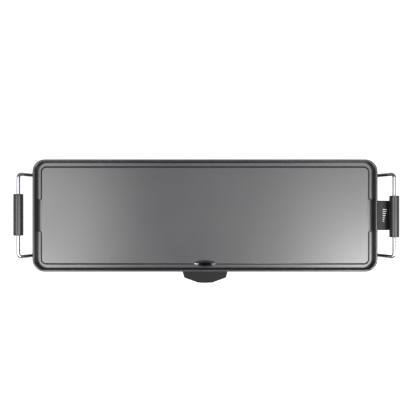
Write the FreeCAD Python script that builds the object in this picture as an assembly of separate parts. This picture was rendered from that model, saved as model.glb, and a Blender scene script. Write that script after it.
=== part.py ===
import FreeCAD, Part
import math
import os

# Long table-top electric griddle: a cast cooking plate on four legs, with a heating element
# under it, a slide-out drip tray, two wire handles and a plug-in thermostat control.
# Millimetres. The pieces are drawn about the middle of the cooking plate: X runs along its
# length towards the control, Y to the rear, Z up from the table. They are moved by
# ORIGIN_SHIFT when they are written, so that the origin is under the middle of the whole.

# Cooking plate
PLATE_LENGTH = 700.0
PLATE_WIDTH = 228.0
PLATE_CORNER = 25.0
RIM_Z = 84.0                # top of the rim
SKIRT_Z = 60.0              # lower edge of the plate's outer wall
SKIRT_WALL = 4.0
SURFACE_Z = 72.5            # cooking surface
CHANNEL_DEPTH = 2.0
UNDERSIDE_Z = 67.0
RIM_WIDTH = 5.0             # rim top, from its outer edge to the start of the inner wall
RIM_ROUND = 2.3
WALL_FOOT = 6.8             # inset of the inner wall where it meets the floor
CHANNEL_INSET = 13.0        # inset of the channel's inner side at its floor
STEP_RUN = 3.6              # width of the slope from the channel up to the cooking surface
BRIDGE_HALF = 36.0          # half length of the stretch without a channel, at both ends
ROLL_INSET = 20.0           # inset from which the surface rolls down to the end wall there

# Drain, at the middle of the front
DRAIN_Y = -99.8
DRAIN_HALF_LENGTH = 14.0
DRAIN_HALF_WIDTH = 3.8
DISH_HALF_LENGTH = 25.0
DISH_HALF_WIDTH = 8.5
DISH_DEPTH = 3.6
SPOUT_WALL = 3.4
SPOUT_END_Z = 45.2

# Heating element, under the plate
ELEMENT_Z = 55.5            # also the height of the terminal pins and of the sensor probe
ELEMENT_RADIUS = 3.5
ELEMENT_LEG_Y = 52.0
ELEMENT_TURN_X = -290.0
ELEMENT_NECK_X = 252.0
ELEMENT_BEND_X = 292.0
TERMINAL_X = 315.0          # where the sheath ends, at the terminal block's face
TERMINAL_Y = 14.0
RAIL_WIDTH = 20.0           # cast rails that the element lies in
SEAL_LENGTH = 4.0
PIN_RADIUS = 2.0
PIN_END_X = 344.0
CLIP_LENGTH = 10.0
CLIP_SHEET = 0.8
CLIP_SCREW_OFFSET = 7.4
CLIP_PLACES = (-200.0, -60.0, 80.0, 200.0)

# Terminal block, cast under the plate, with the bore that takes the sensor probe
BLOCK_START_X = 266.0
BLOCK_HALF_WIDTH = 25.0
BLOCK_Z = 50.0
WELL_END_X = 262.0
WELL_RADIUS = 3.3

# Guard round the terminals: the socket for the control
GUARD_END_X = 349.0
GUARD_HALF_WIDTH = 26.5
GUARD_LOW_Z = 47.0
GUARD_TOP_Z = 63.2
GUARD_SHEET = 1.0
GUARD_SEAL_HOLE = 4.2       # radius of the holes round the element's ends
GUARD_PROBE_HOLE = 3.6
NOTCH_HALF_WIDTH = 28.0
NOTCH_TOP_Z = 64.2

# Base pan
PAN_LENGTH = 668.0
PAN_WIDTH = 196.0
PAN_CORNER = 16.0
PAN_LOW_Z = 45.0
PAN_SHEET = 1.0
PAN_TOP_Z = 65.0
BOSS_RADIUS = 6.0
VENT_LENGTH = 26.0
VENT_WIDTH = 4.0
VENT_PITCH = 10.0
VENT_COUNT = 5
VENT_PLACES = (-230.0, 175.0)

# Legs and feet
LEG_X = 292.0
LEG_Y = 77.0
LEG_SCREW_X = 300.0
LEG_SCREW_Y = 68.0
LEG_TOP = (50.0, 36.0)      # length and width at the pan
LEG_FOOT = (38.0, 27.0)     # length and width at the foot pad
LEG_CORNER = 6.0
PAD_HEIGHT = 4.0
PAD_EDGE = 1.5              # foot pad inset from the leg's outline
LEG_SEAT_Z = 29.0           # seat of the leg screw's head
LEG_BORE_RADIUS = 5.0
PAD_STUD_TOP = 11.0

# Handles
ROD_RADIUS = 4.0
ROD_ROOT_Z = 40.9
ROD_ROOT_Y = 82.0
ROD_BAR_Z = 74.0
ROD_BAR_Y = 85.0
ROD_RUN = 40.7              # from the start of the rise to the bar
ROD_TIP_BACK = 105.0        # from the bar back to the turned-in tip
ROD_TIP_Y = 72.5
ROD_CORNER_BEND = 7.0
ROD_RISE_BEND = 18.0
ROD_TIP_BEND = 6.0
LEFT_BAR_X = 381.4
RIGHT_BAR_X = 386.7
GRIP_RADIUS = 10.1
GRIP_EDGE = 0.8
GRIP_LENGTH = 85.0
LEFT_GRIP_Y = 1.5           # middles of the sleeves along their bars
RIGHT_GRIP_Y = -2.0

# Drip tray and its rails
TRAY_HALF_WIDTH = 40.0
TRAY_FRONT_Y = -112.0
TRAY_BACK_Y = -22.0
TRAY_LOW_Z = 17.0
TRAY_TOP_Z = 40.0
TRAY_WALL = 1.8
TRAY_FLANGE_REACH = 6.0
TRAY_CORNER = 8.0
LIP_TOP_Z = 43.5
LIP_LOW_Z = 27.0
LIP_ROOT_HALF = 47.5
LIP_SHOULDER_HALF = 43.5
LIP_SHOULDER_Y = -131.5
LIP_NOSE_HALF = 15.0
LIP_NOSE_Y = -142.4
LIP_ROOT_Y = -113.5
LIP_WALL = 2.4
RAIL_WEB_X = 47.0
RAIL_SHEET = 1.0
RAIL_LEDGE_X = 42.0
RAIL_FLANGE_X = 60.0
RAIL_FRONT_Y = -108.0
RAIL_REAR_Y = -16.0
RAIL_LEDGE_Z = 37.0
RAIL_SCREW_X = 54.0
RAIL_SCREW_YS = (-88.0, -32.0)
PAN_SCREW_PLACES = ((-150.0, -82.0), (150.0, -82.0), (-150.0, 82.0), (150.0, 82.0), (0.0, 82.0))

# Control housing
CONTROL_START_X = 351.5
CONTROL_END_X = 392.0
CONTROL_HALF_WIDTH = 30.6
CONTROL_LOW_Z = 34.0
CONTROL_TOP_Z = 62.0
CONTROL_SPLIT_Z = 48.0
CONTROL_CORNER = 6.0
CONTROL_EDGE = 2.5
CONTROL_WALL = 2.4
NOSE_START_X = 322.0
NOSE_HALF_WIDTH = 24.0
NOSE_LOW_Z = 49.0
NOSE_TOP_Z = 61.4
NOSE_WALL = 1.8
POST_RADIUS = 3.6
CONTROL_SCREW_RADIUS = 1.25
CONTROL_HEAD_RADIUS = 2.4
CONTROL_HEAD_BORE = 2.7
CONTROL_HEAD_DEPTH = 3.0
POST_PLACES = ((358.6, -24.0), (358.6, 24.0), (374.0, 24.0))

# Control inside
PROBE_RADIUS = 3.0
PROBE_TIP_X = 265.0
PROBE_ROOT_X = 356.0
PROBE_WALL = 0.8
ROD_INNER_RADIUS = 1.3
EXPANSION_ROD_END_X = 360.0
SOCKET_INNER = 2.1
SOCKET_OUTER = 3.2
SOCKET_START_X = 325.0
SOCKET_END_X = 352.0
BLOCK_FRONT_X = 338.0
BLOCK_REAR_X = 350.0
CHASSIS_X = 356.0
CHASSIS_SHEET = 1.2
CHASSIS_HALF_WIDTH = 17.0
CHASSIS_LOW_Z = 38.0
CHASSIS_TOP_Z = 58.5
DIAL_Z = 48.0
DIAL_RADIUS = 13.0
DIAL_START_X = 392.6
DIAL_END_X = 403.0
DIAL_RIBS = 20
SHAFT_RADIUS = 3.0
SHAFT_START_X = 378.0
BUSH_RADIUS = 5.6
BUSH_FLANGE_RADIUS = 8.0
CAM_RADIUS = 9.0
CAM_BACK_X = 383.0
CAM_FACE_X = 380.0
CAM_RISE = 2.0
CAM_STEPS = 27
DIAL_SWEEP = 270.0
FOLLOWER_Y = 6.0
FOLLOWER_RADIUS = 1.6
FOLLOWER_START_X = 366.9
FOLLOWER_END_X = 381.5
GUIDE_START_X = 370.0
GUIDE_END_X = 374.0
ARM_PIVOT_Y = -15.0
ARM_X = 366.2               # face of the contact arm that the follower pin pushes
ARM_SHEET = 0.6
ARM_TIP_Y = 14.5
ARM_LOW_Z = 44.5
ARM_TOP_Z = 51.5
CONTACT_Y = 11.5
GLAND_Y = -19.1
GLAND_RADIUS = 4.8
GLAND_LIP = 0.7
GLAND_BORE = 3.2
LENS_Y = 20.0
LENS_Z = 54.0
LENS_RADIUS = 3.4

SCREW_GAP = 0.1             # radial room round a screw in its hole

# The whole reaches from the left grip to the dial, and from the tray's lip to the rear rim.
LEFT_END_X = -(LEFT_BAR_X + GRIP_RADIUS)
ORIGIN_SHIFT = FreeCAD.Vector(
    -(LEFT_END_X + DIAL_END_X) / 2,
    -(LIP_NOSE_Y + PLATE_WIDTH / 2) / 2,
    0.0,
)


# ---------------------------------------------------------------- shapes used by many pieces

def point(x, y, z):
    """A point or direction."""
    return FreeCAD.Vector(x, y, z)


def block(x_range, y_range, z_range):
    """Box between three pairs of limits, given in any order."""
    low = point(min(x_range), min(y_range), min(z_range))
    high = point(max(x_range), max(y_range), max(z_range))
    size = high - low
    return Part.makeBox(size.x, size.y, size.z, low)


def bar(start, end, radius):
    """Round bar between two points."""
    return Part.makeCylinder(radius, (end - start).Length, start, end - start)


def pipe(start, end, outer, inner):
    """Round bar with a bore right through it."""
    return bar(start, end, outer).cut(bar(start, end, inner))


def joined(shapes):
    """One solid out of several that overlap or share faces."""
    return shapes[0].multiFuse(shapes[1:]).removeSplitter()


def group(solids):
    """Several separate solids that share one node."""
    return Part.makeCompound(solids)


def outline(points):
    """Closed wire of straight edges through the points."""
    return Part.makePolygon(points + points[:1])


def rounded_outline(length, width, radius, z, cx=0.0, cy=0.0):
    """Level rectangle with round corners."""
    half_l = length / 2
    half_w = width / 2
    diagonal = radius * (1 - math.sqrt(0.5))
    edges = []
    corners = ((1, 1), (-1, 1), (-1, -1), (1, -1))
    for index, (sx, sy) in enumerate(corners):
        side = point(cx + sx * half_l, cy + sy * (half_w - radius), z)
        middle = point(cx + sx * (half_l - diagonal), cy + sy * (half_w - diagonal), z)
        end = point(cx + sx * (half_l - radius), cy + sy * half_w, z)
        first, last = (side, end) if sx * sy > 0 else (end, side)
        edges.append(Part.Arc(first, middle, last).toShape())
        next_sx, next_sy = corners[(index + 1) % 4]
        if next_sy == sy:
            after = point(cx + next_sx * (half_l - radius), last.y, z)
        else:
            after = point(last.x, cy + next_sy * (half_w - radius), z)
        edges.append(Part.LineSegment(last, after).toShape())
    return Part.Wire(edges)


def rounded_slab(length, width, radius, z_low, z_high, cx=0.0, cy=0.0):
    """Upright slab whose plan is a rectangle with round corners."""
    face = Part.Face(rounded_outline(length, width, radius, z_low, cx, cy))
    return face.extrude(point(0, 0, z_high - z_low))


def tapered(low, high):
    """Solid between two outlines at different heights."""
    return Part.makeLoft([low, high], True, True)


def ellipse(half_length, half_width, x, y, z):
    """Level ellipse with its long axis along X."""
    curve = Part.Ellipse(point(x, y, z), half_length, half_width)
    return Part.Wire(curve.toShape())


def rounded_path(points, radii):
    """Straight runs joined by tangent arcs, with one radius for each inner point."""
    edges = []
    start = points[0]
    for before, corner, after, radius in zip(points, points[1:], points[2:], radii):
        back = (before - corner).normalize()
        ahead = (after - corner).normalize()
        half_angle = back.getAngle(ahead) / 2
        reach = radius / math.tan(half_angle)
        middle = corner + (back + ahead).normalize() * (radius / math.sin(half_angle) - radius)
        arc_start = corner + back * reach
        arc_end = corner + ahead * reach
        edges.append(Part.LineSegment(start, arc_start).toShape())
        edges.append(Part.Arc(arc_start, middle, arc_end).toShape())
        start = arc_end
    edges.append(Part.LineSegment(start, points[-1]).toShape())
    return Part.Wire(edges)


def tube_along(path, radius):
    """Round bar that follows a path."""
    first = path.Edges[0]
    start = first.valueAt(first.FirstParameter)
    direction = first.tangentAt(first.FirstParameter)
    circle = Part.Wire(Part.makeCircle(radius, start, direction))
    return path.makePipeShell([circle], True, False)


def edges_at(shape, z):
    """The edges that lie at one height."""
    return [edge for edge in shape.Edges if all(abs(v.Z - z) < 1e-4 for v in edge.Vertexes)]


def rounded_top(shape, z, radius):
    """The shape with its edges at one height rounded over."""
    return shape.makeFillet(radius, edges_at(shape, z))


def screw(seat, direction, length, shank, head, height):
    """Pan-head screw: seat is the point under its head, direction is where its tip points."""
    top = Part.makeCylinder(head, height)
    top = rounded_top(top, height, height * 0.6)
    shaft = Part.makeCylinder(shank, length, point(0, 0, 0), point(0, 0, -1))
    solid = joined([top, shaft])
    slot = head * 0.6
    width = head * 0.13
    depth = height * 0.5
    for along_x, along_y in ((slot, width), (width, slot)):
        cut = block((-along_x, along_x), (-along_y, along_y), (height - depth, height + 1))
        solid = solid.cut(cut)
    solid.Placement = FreeCAD.Placement(seat, FreeCAD.Rotation(point(0, 0, -1), direction))
    return solid


def screws_up(places, seat_z, length, shank, head, height):
    """A group of equal screws that point up from one height."""
    up = point(0, 0, 1)
    return group([screw(point(x, y, seat_z), up, length, shank, head, height) for x, y in places])


def upright_holes(places, radius, z_low, z_high):
    """Round cutters at several places."""
    return [bar(point(x, y, z_low), point(x, y, z_high), radius) for x, y in places]


# ---------------------------------------------------------------- cooking plate

LEG_SCREW_PLACES = [(sx * LEG_SCREW_X, sy * LEG_SCREW_Y) for sx in (-1, 1) for sy in (-1, 1)]
RAIL_SCREW_PLACES = [(sx * RAIL_SCREW_X, y) for sx in (-1, 1) for y in RAIL_SCREW_YS]
LEG_SCREW_RADIUS = 2.0
PAN_SCREW_RADIUS = 1.75
CLIP_SCREW_RADIUS = 1.25
GUARD_SCREW_RADIUS = 1.25
GUARD_SCREW_Y = 21.3
GUARD_SCREW_Z = 57.0


def plate_outline(inset, z):
    """The plate's outline moved inwards."""
    length = PLATE_LENGTH - 2 * inset
    width = PLATE_WIDTH - 2 * inset
    return rounded_outline(length, width, PLATE_CORNER - inset, z)


def channel_cutter():
    """The grease channel, cut round the cooking surface and stopped at both ends' middles."""
    floor_z = SURFACE_Z - CHANNEL_DEPTH
    outer = tapered(plate_outline(WALL_FOOT, floor_z), plate_outline(WALL_FOOT, SURFACE_Z))
    inner = tapered(
        plate_outline(CHANNEL_INSET, floor_z),
        plate_outline(CHANNEL_INSET + STEP_RUN, SURFACE_Z),
    )
    ring = outer.cut(inner)
    half_run = (CHANNEL_INSET - WALL_FOOT) / 2
    middle_x = PLATE_LENGTH / 2 - WALL_FOOT - half_run
    for sx in (-1, 1):
        bridge = block(
            (sx * (PLATE_LENGTH / 2 - CHANNEL_INSET - 2 * STEP_RUN), sx * PLATE_LENGTH / 2),
            (-BRIDGE_HALF, BRIDGE_HALF),
            (floor_z - 1, SURFACE_Z + 1),
        )
        ring = ring.cut(bridge)
        for sy in (-1, 1):
            foot = point(sx * middle_x, sy * BRIDGE_HALF, floor_z)
            end = Part.makeCone(half_run, half_run + STEP_RUN, CHANNEL_DEPTH, foot)
            ring = ring.fuse(end.common(outer))
    return ring


def end_roll(side):
    """Cutter that rolls the cooking surface gently down to the end wall where no channel runs."""
    start_x = PLATE_LENGTH / 2 - ROLL_INSET
    wall_x = PLATE_LENGTH / 2 - WALL_FOOT
    run = wall_x - start_x
    radius = (run ** 2 + CHANNEL_DEPTH ** 2) / (2 * CHANNEL_DEPTH)
    half_angle = math.asin(run / radius) / 2
    top = point(side * start_x, -BRIDGE_HALF, SURFACE_Z)
    middle = point(
        side * (start_x + radius * math.sin(half_angle)),
        -BRIDGE_HALF,
        SURFACE_Z - radius * (1 - math.cos(half_angle)),
    )
    low = point(side * wall_x, -BRIDGE_HALF, SURFACE_Z - CHANNEL_DEPTH)
    corner = point(side * wall_x, -BRIDGE_HALF, SURFACE_Z)
    edges = [Part.Arc(top, middle, low).toShape()]
    for first, last in ((low, corner), (corner, top)):
        edges.append(Part.LineSegment(first, last).toShape())
    return Part.Face(Part.Wire(edges)).extrude(point(0, 2 * BRIDGE_HALF, 0))


def element_path():
    """Centre line of the element: a long loop whose two ends neck in to the terminals."""
    half = [
        point(TERMINAL_X, TERMINAL_Y, ELEMENT_Z),
        point(ELEMENT_BEND_X, TERMINAL_Y, ELEMENT_Z),
        point(ELEMENT_NECK_X, ELEMENT_LEG_Y, ELEMENT_Z),
        point(ELEMENT_TURN_X, ELEMENT_LEG_Y, ELEMENT_Z),
    ]
    other = [point(p.x, -p.y, p.z) for p in reversed(half)]
    bends = [16.0, 24.0, ELEMENT_LEG_Y - 3.0]
    return rounded_path(half + other, bends + list(reversed(bends)))


def element_rails():
    """Cast rails down the loop, deep enough to hold the upper half of the element."""
    path = element_path()
    half = RAIL_WIDTH / 2
    corners = ((-half, ELEMENT_Z), (half, ELEMENT_Z), (half, UNDERSIDE_Z + 1), (-half, UNDERSIDE_Z + 1))
    profile = outline([point(TERMINAL_X, TERMINAL_Y + y, z) for y, z in corners])
    return path.makePipeShell([profile], True, False)


def underside_ribs():
    """Cross ribs and two long ribs that stiffen the casting."""
    ribs = []
    for x in (-230.0, -120.0, 120.0, 230.0):
        ribs.append(block((x - 1.5, x + 1.5), (-94, 94), (UNDERSIDE_Z - 4, UNDERSIDE_Z + 1)))
    for y in (-24.0, 24.0):
        ribs.append(block((-270, 270), (y - 1.5, y + 1.5), (UNDERSIDE_Z - 4, UNDERSIDE_Z + 1)))
    return ribs


def clip_screw_places():
    """Both screws of every element clip."""
    places = []
    for x in CLIP_PLACES:
        for side in (-1, 1):
            for offset in (-CLIP_SCREW_OFFSET, CLIP_SCREW_OFFSET):
                places.append((x, side * ELEMENT_LEG_Y + offset))
    return places


def plate_bosses():
    """Round pillars that the pan, the legs and the tray rails are screwed to."""
    low = PAN_LOW_Z + PAN_SHEET
    places = LEG_SCREW_PLACES + list(PAN_SCREW_PLACES) + RAIL_SCREW_PLACES
    return upright_holes(places, BOSS_RADIUS, low, UNDERSIDE_Z + 1)


def plate_screw_holes():
    """Blind holes in the bosses and the element rails, and in the terminal block's face."""
    low = PAN_LOW_Z
    holes = upright_holes(LEG_SCREW_PLACES, LEG_SCREW_RADIUS + SCREW_GAP, low, low + 16)
    places = list(PAN_SCREW_PLACES) + RAIL_SCREW_PLACES
    holes += upright_holes(places, PAN_SCREW_RADIUS + SCREW_GAP, low, low + 12)
    radius = CLIP_SCREW_RADIUS + SCREW_GAP
    holes += upright_holes(clip_screw_places(), radius, ELEMENT_Z - 1, ELEMENT_Z + 7)
    for side in (-1, 1):
        start = point(TERMINAL_X - 9, side * GUARD_SCREW_Y, GUARD_SCREW_Z)
        end = point(TERMINAL_X + 1, side * GUARD_SCREW_Y, GUARD_SCREW_Z)
        holes.append(bar(start, end, GUARD_SCREW_RADIUS + SCREW_GAP))
    return holes


def make_cooking_plate():
    """One aluminium casting: rim, channel, cooking surface, drain, rails, bosses and well."""
    shell = rounded_slab(PLATE_LENGTH, PLATE_WIDTH, PLATE_CORNER, SKIRT_Z, RIM_Z)
    shell = shell.cut(tapered(plate_outline(WALL_FOOT, SURFACE_Z), plate_outline(RIM_WIDTH, RIM_Z)))
    shell = rounded_top(shell, RIM_Z, RIM_ROUND)
    hollow_length = PLATE_LENGTH - 2 * SKIRT_WALL
    hollow_width = PLATE_WIDTH - 2 * SKIRT_WALL
    corner = PLATE_CORNER - SKIRT_WALL
    shell = shell.cut(rounded_slab(hollow_length, hollow_width, corner, SKIRT_Z, UNDERSIDE_Z))
    terminal_block = block(
        (BLOCK_START_X - 10, TERMINAL_X),
        (-BLOCK_HALF_WIDTH, BLOCK_HALF_WIDTH),
        (BLOCK_Z, UNDERSIDE_Z + 1),
    )
    spout = tapered(
        ellipse(DRAIN_HALF_LENGTH + SPOUT_WALL, DRAIN_HALF_WIDTH + SPOUT_WALL, 0, DRAIN_Y, SPOUT_END_Z),
        ellipse(DISH_HALF_LENGTH, DISH_HALF_WIDTH, 0, DRAIN_Y, UNDERSIDE_Z + 1),
    )
    adds = [element_rails(), terminal_block, spout] + underside_ribs() + plate_bosses()
    plate = joined([shell] + adds)
    cuts = [channel_cutter(), end_roll(-1), end_roll(1), tube_along(element_path(), ELEMENT_RADIUS)]
    cuts.append(tapered(
        ellipse(DRAIN_HALF_LENGTH, DRAIN_HALF_WIDTH, 0, DRAIN_Y, SURFACE_Z - DISH_DEPTH),
        ellipse(DISH_HALF_LENGTH, DISH_HALF_WIDTH, 0, DRAIN_Y, SURFACE_Z + 0.01),
    ))
    cuts.append(tapered(
        ellipse(DRAIN_HALF_LENGTH, DRAIN_HALF_WIDTH, 0, DRAIN_Y, SPOUT_END_Z - 1),
        ellipse(DRAIN_HALF_LENGTH, DRAIN_HALF_WIDTH, 0, DRAIN_Y, SURFACE_Z - DISH_DEPTH + 0.01),
    ))
    well_end = point(WELL_END_X, 0, ELEMENT_Z)
    cuts.append(bar(well_end, point(TERMINAL_X + 1, 0, ELEMENT_Z), WELL_RADIUS))
    cuts.append(block(
        (PLATE_LENGTH / 2 - 10, PLATE_LENGTH / 2 + 1),
        (-NOTCH_HALF_WIDTH, NOTCH_HALF_WIDTH),
        (SKIRT_Z - 1, NOTCH_TOP_Z),
    ))
    cuts += plate_screw_holes()
    return plate.cut(cuts).removeSplitter()


# ---------------------------------------------------------------- heating element

def make_heating_element():
    """Steel-sheathed tubular element."""
    return tube_along(element_path(), ELEMENT_RADIUS)


def terminal_pieces(make):
    """A group with one piece at each of the two terminals."""
    return group([make(side * TERMINAL_Y) for side in (-1, 1)])


def make_end_seal(y):
    """Ceramic bead that closes the sheath round its pin."""
    start = point(TERMINAL_X, y, ELEMENT_Z)
    end = point(TERMINAL_X + SEAL_LENGTH, y, ELEMENT_Z)
    return pipe(start, end, ELEMENT_RADIUS, PIN_RADIUS)


def make_terminal_pin(y):
    """Round pin with a bevelled tip, which the control's contact slides on to."""
    start = point(TERMINAL_X, y, ELEMENT_Z)
    end = point(PIN_END_X, y, ELEMENT_Z)
    pin = bar(start, end, PIN_RADIUS)
    tip = [edge for edge in pin.Edges if edge.CenterOfMass.x > PIN_END_X - 0.1]
    return pin.makeChamfer(0.7, tip)


def make_element_clip(x, y):
    """Pressed strap that holds the element up in its rail."""
    start = point(x - CLIP_LENGTH / 2, y, ELEMENT_Z)
    end = point(x + CLIP_LENGTH / 2, y, ELEMENT_Z)
    arch = pipe(start, end, ELEMENT_RADIUS + CLIP_SHEET, ELEMENT_RADIUS)
    half = RAIL_WIDTH / 2
    below = block((start.x, end.x), (y - half, y + half), (ELEMENT_Z - 10, ELEMENT_Z))
    wings = block((start.x, end.x), (y - half, y + half), (ELEMENT_Z - CLIP_SHEET, ELEMENT_Z))
    wings = wings.cut(bar(start, end, ELEMENT_RADIUS + CLIP_SHEET / 2))
    clip = joined([arch.common(below), wings])
    places = [(x, y - CLIP_SCREW_OFFSET), (x, y + CLIP_SCREW_OFFSET)]
    radius = CLIP_SCREW_RADIUS + SCREW_GAP
    return clip.cut(upright_holes(places, radius, ELEMENT_Z - 2, ELEMENT_Z + 1))


def make_element_clips():
    """The straps along both legs of the loop."""
    return group([make_element_clip(x, side * ELEMENT_LEG_Y) for x in CLIP_PLACES for side in (-1, 1)])


def make_element_clip_screws():
    """Two screws for each strap."""
    return screws_up(clip_screw_places(), ELEMENT_Z - CLIP_SHEET, 7.0, CLIP_SCREW_RADIUS, 2.3, 1.6)


def make_terminal_guard():
    """Pressed steel box round the pins, open towards the control."""
    guard = block(
        (TERMINAL_X, GUARD_END_X),
        (-GUARD_HALF_WIDTH, GUARD_HALF_WIDTH),
        (GUARD_LOW_Z, GUARD_TOP_Z),
    )
    inner = GUARD_HALF_WIDTH - GUARD_SHEET
    room = block(
        (TERMINAL_X + GUARD_SHEET, GUARD_END_X + 1),
        (-inner, inner),
        (GUARD_LOW_Z + GUARD_SHEET, GUARD_TOP_Z - GUARD_SHEET),
    )
    guard = guard.cut(room)
    holes = [(y, ELEMENT_Z, GUARD_SEAL_HOLE) for y in (-TERMINAL_Y, TERMINAL_Y)]
    holes.append((0.0, ELEMENT_Z, GUARD_PROBE_HOLE))
    for side in (-1, 1):
        holes.append((side * GUARD_SCREW_Y, GUARD_SCREW_Z, GUARD_SCREW_RADIUS + SCREW_GAP))
    start_x = TERMINAL_X - 1
    end_x = TERMINAL_X + 2
    return guard.cut([bar(point(start_x, y, z), point(end_x, y, z), r) for y, z, r in holes])


def make_guard_screws():
    """Screws through the guard's back wall into the terminal block."""
    inwards = point(-1, 0, 0)
    seat_x = TERMINAL_X + GUARD_SHEET
    return group([
        screw(point(seat_x, side * GUARD_SCREW_Y, GUARD_SCREW_Z), inwards, 8.0, GUARD_SCREW_RADIUS, 2.3, 1.6)
        for side in (-1, 1)
    ])


# ---------------------------------------------------------------- pan, legs and handles

def make_base_pan():
    """Shallow sheet-steel pan that throws the heat up and covers the element from below."""
    pan = rounded_slab(PAN_LENGTH, PAN_WIDTH, PAN_CORNER, PAN_LOW_Z, PAN_TOP_Z)
    inner_length = PAN_LENGTH - 2 * PAN_SHEET
    inner_width = PAN_WIDTH - 2 * PAN_SHEET
    inner_corner = PAN_CORNER - PAN_SHEET
    floor = PAN_LOW_Z + PAN_SHEET
    pan = pan.cut(rounded_slab(inner_length, inner_width, inner_corner, floor, PAN_TOP_Z))
    side = GUARD_HALF_WIDTH + 1.0
    cuts = [block((TERMINAL_X, PAN_LENGTH / 2 + 1), (-side, side), (floor + 0.2, PAN_TOP_Z + 1))]
    reach = DISH_HALF_LENGTH + 1.0
    front = -PAN_WIDTH / 2 - 1
    cuts.append(block((-reach, reach), (front, DRAIN_Y + DISH_HALF_WIDTH + 2), (PAN_LOW_Z - 1, PAN_TOP_Z + 1)))
    cuts += upright_holes(LEG_SCREW_PLACES, LEG_SCREW_RADIUS + SCREW_GAP, PAN_LOW_Z - 1, floor + 1)
    others = list(PAN_SCREW_PLACES) + RAIL_SCREW_PLACES
    cuts += upright_holes(others, PAN_SCREW_RADIUS + SCREW_GAP, PAN_LOW_Z - 1, floor + 1)
    for start_x in VENT_PLACES:
        for index in range(VENT_COUNT):
            x = start_x + index * VENT_PITCH
            slot = rounded_slab(VENT_WIDTH, VENT_LENGTH, 1.9, PAN_LOW_Z - 1, floor + 1, x, 0.0)
            cuts.append(slot)
    return pan.cut(cuts)


def make_pan_screws():
    """Screws that hold the pan up to the plate."""
    return screws_up(PAN_SCREW_PLACES, PAN_LOW_Z, 11.0, PAN_SCREW_RADIUS, 3.4, 2.2)


def handle_bar_x(side):
    """Where the bar of one handle lies."""
    return RIGHT_BAR_X if side > 0 else -LEFT_BAR_X


def make_leg(side, depth):
    """Moulded leg with a slot for the handle rod in its top and a screw bore from below."""
    cx = side * LEG_X
    cy = depth * LEG_Y
    body = tapered(
        rounded_outline(LEG_FOOT[0], LEG_FOOT[1], LEG_CORNER, PAD_HEIGHT, cx, cy),
        rounded_outline(LEG_TOP[0], LEG_TOP[1], LEG_CORNER, PAN_LOW_Z, cx, cy),
    )
    room = ROD_RADIUS + 0.1
    pocket = ROD_TIP_BEND
    tip_x = handle_bar_x(side) - side * ROD_TIP_BACK
    slot_z = (ROD_ROOT_Z - room, PAN_LOW_Z + 1)
    rod_y = depth * ROD_ROOT_Y
    slots = [
        block((tip_x - side * room, side * (LEG_X + LEG_TOP[0])), (rod_y - room, rod_y + room), slot_z),
        block((tip_x - side * room, tip_x + side * pocket), (rod_y, depth * (ROD_TIP_Y - 0.5)), slot_z),
    ]
    x = side * LEG_SCREW_X
    y = depth * LEG_SCREW_Y
    bore = bar(point(x, y, PAD_HEIGHT - 1), point(x, y, LEG_SEAT_Z), LEG_BORE_RADIUS)
    hole = bar(point(x, y, LEG_SEAT_Z - 1), point(x, y, PAN_LOW_Z + 1), LEG_SCREW_RADIUS + SCREW_GAP)
    return body.cut(slots + [bore, hole])


def make_leg_screws():
    """One long screw up through each leg and the pan into the plate."""
    return screws_up(LEG_SCREW_PLACES, LEG_SEAT_Z, 28.0, LEG_SCREW_RADIUS, 4.2, 2.6)


def make_foot_pad(side, depth):
    """Rubber pad under a leg, with a stud that plugs the screw bore."""
    cx = side * LEG_X
    cy = depth * LEG_Y
    length = LEG_FOOT[0] - 2 * PAD_EDGE
    width = LEG_FOOT[1] - 2 * PAD_EDGE
    pad = rounded_slab(length, width, LEG_CORNER - PAD_EDGE, 0.0, PAD_HEIGHT, cx, cy)
    pad = pad.makeChamfer(0.8, edges_at(pad, 0.0))
    x = side * LEG_SCREW_X
    y = depth * LEG_SCREW_Y
    stud = bar(point(x, y, PAD_HEIGHT - 1), point(x, y, PAD_STUD_TOP), LEG_BORE_RADIUS)
    return joined([pad, stud])


def make_handle_rod(side):
    """Bent chrome rod: turned-in tips in the legs, a rise past the rim and a level bar."""
    bar_x = handle_bar_x(side)
    tip_x = bar_x - side * ROD_TIP_BACK
    rise_x = bar_x - side * ROD_RUN
    half = [
        point(tip_x, ROD_TIP_Y, ROD_ROOT_Z),
        point(tip_x, ROD_ROOT_Y, ROD_ROOT_Z),
        point(rise_x, ROD_ROOT_Y, ROD_ROOT_Z),
        point(bar_x, ROD_BAR_Y, ROD_BAR_Z),
    ]
    other = [point(p.x, -p.y, p.z) for p in reversed(half)]
    bends = [ROD_TIP_BEND, ROD_RISE_BEND, ROD_CORNER_BEND]
    return tube_along(rounded_path(half + other, bends + list(reversed(bends))), ROD_RADIUS)


def make_handle_grip(side):
    """Moulded sleeve on the bar of a handle."""
    x = handle_bar_x(side)
    cy = RIGHT_GRIP_Y if side > 0 else LEFT_GRIP_Y
    half = GRIP_LENGTH / 2
    sleeve = bar(point(x, cy - half, ROD_BAR_Z), point(x, cy + half, ROD_BAR_Z), GRIP_RADIUS)
    ends = [e for e in sleeve.Edges if abs(abs(e.CenterOfMass.y - cy) - half) < 0.01]
    sleeve = sleeve.makeFillet(GRIP_EDGE, ends)
    bore_start = point(x, cy - half - 1, ROD_BAR_Z)
    return sleeve.cut(bar(bore_start, point(x, cy + half + 1, ROD_BAR_Z), ROD_RADIUS))


# ---------------------------------------------------------------- drip tray

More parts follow.
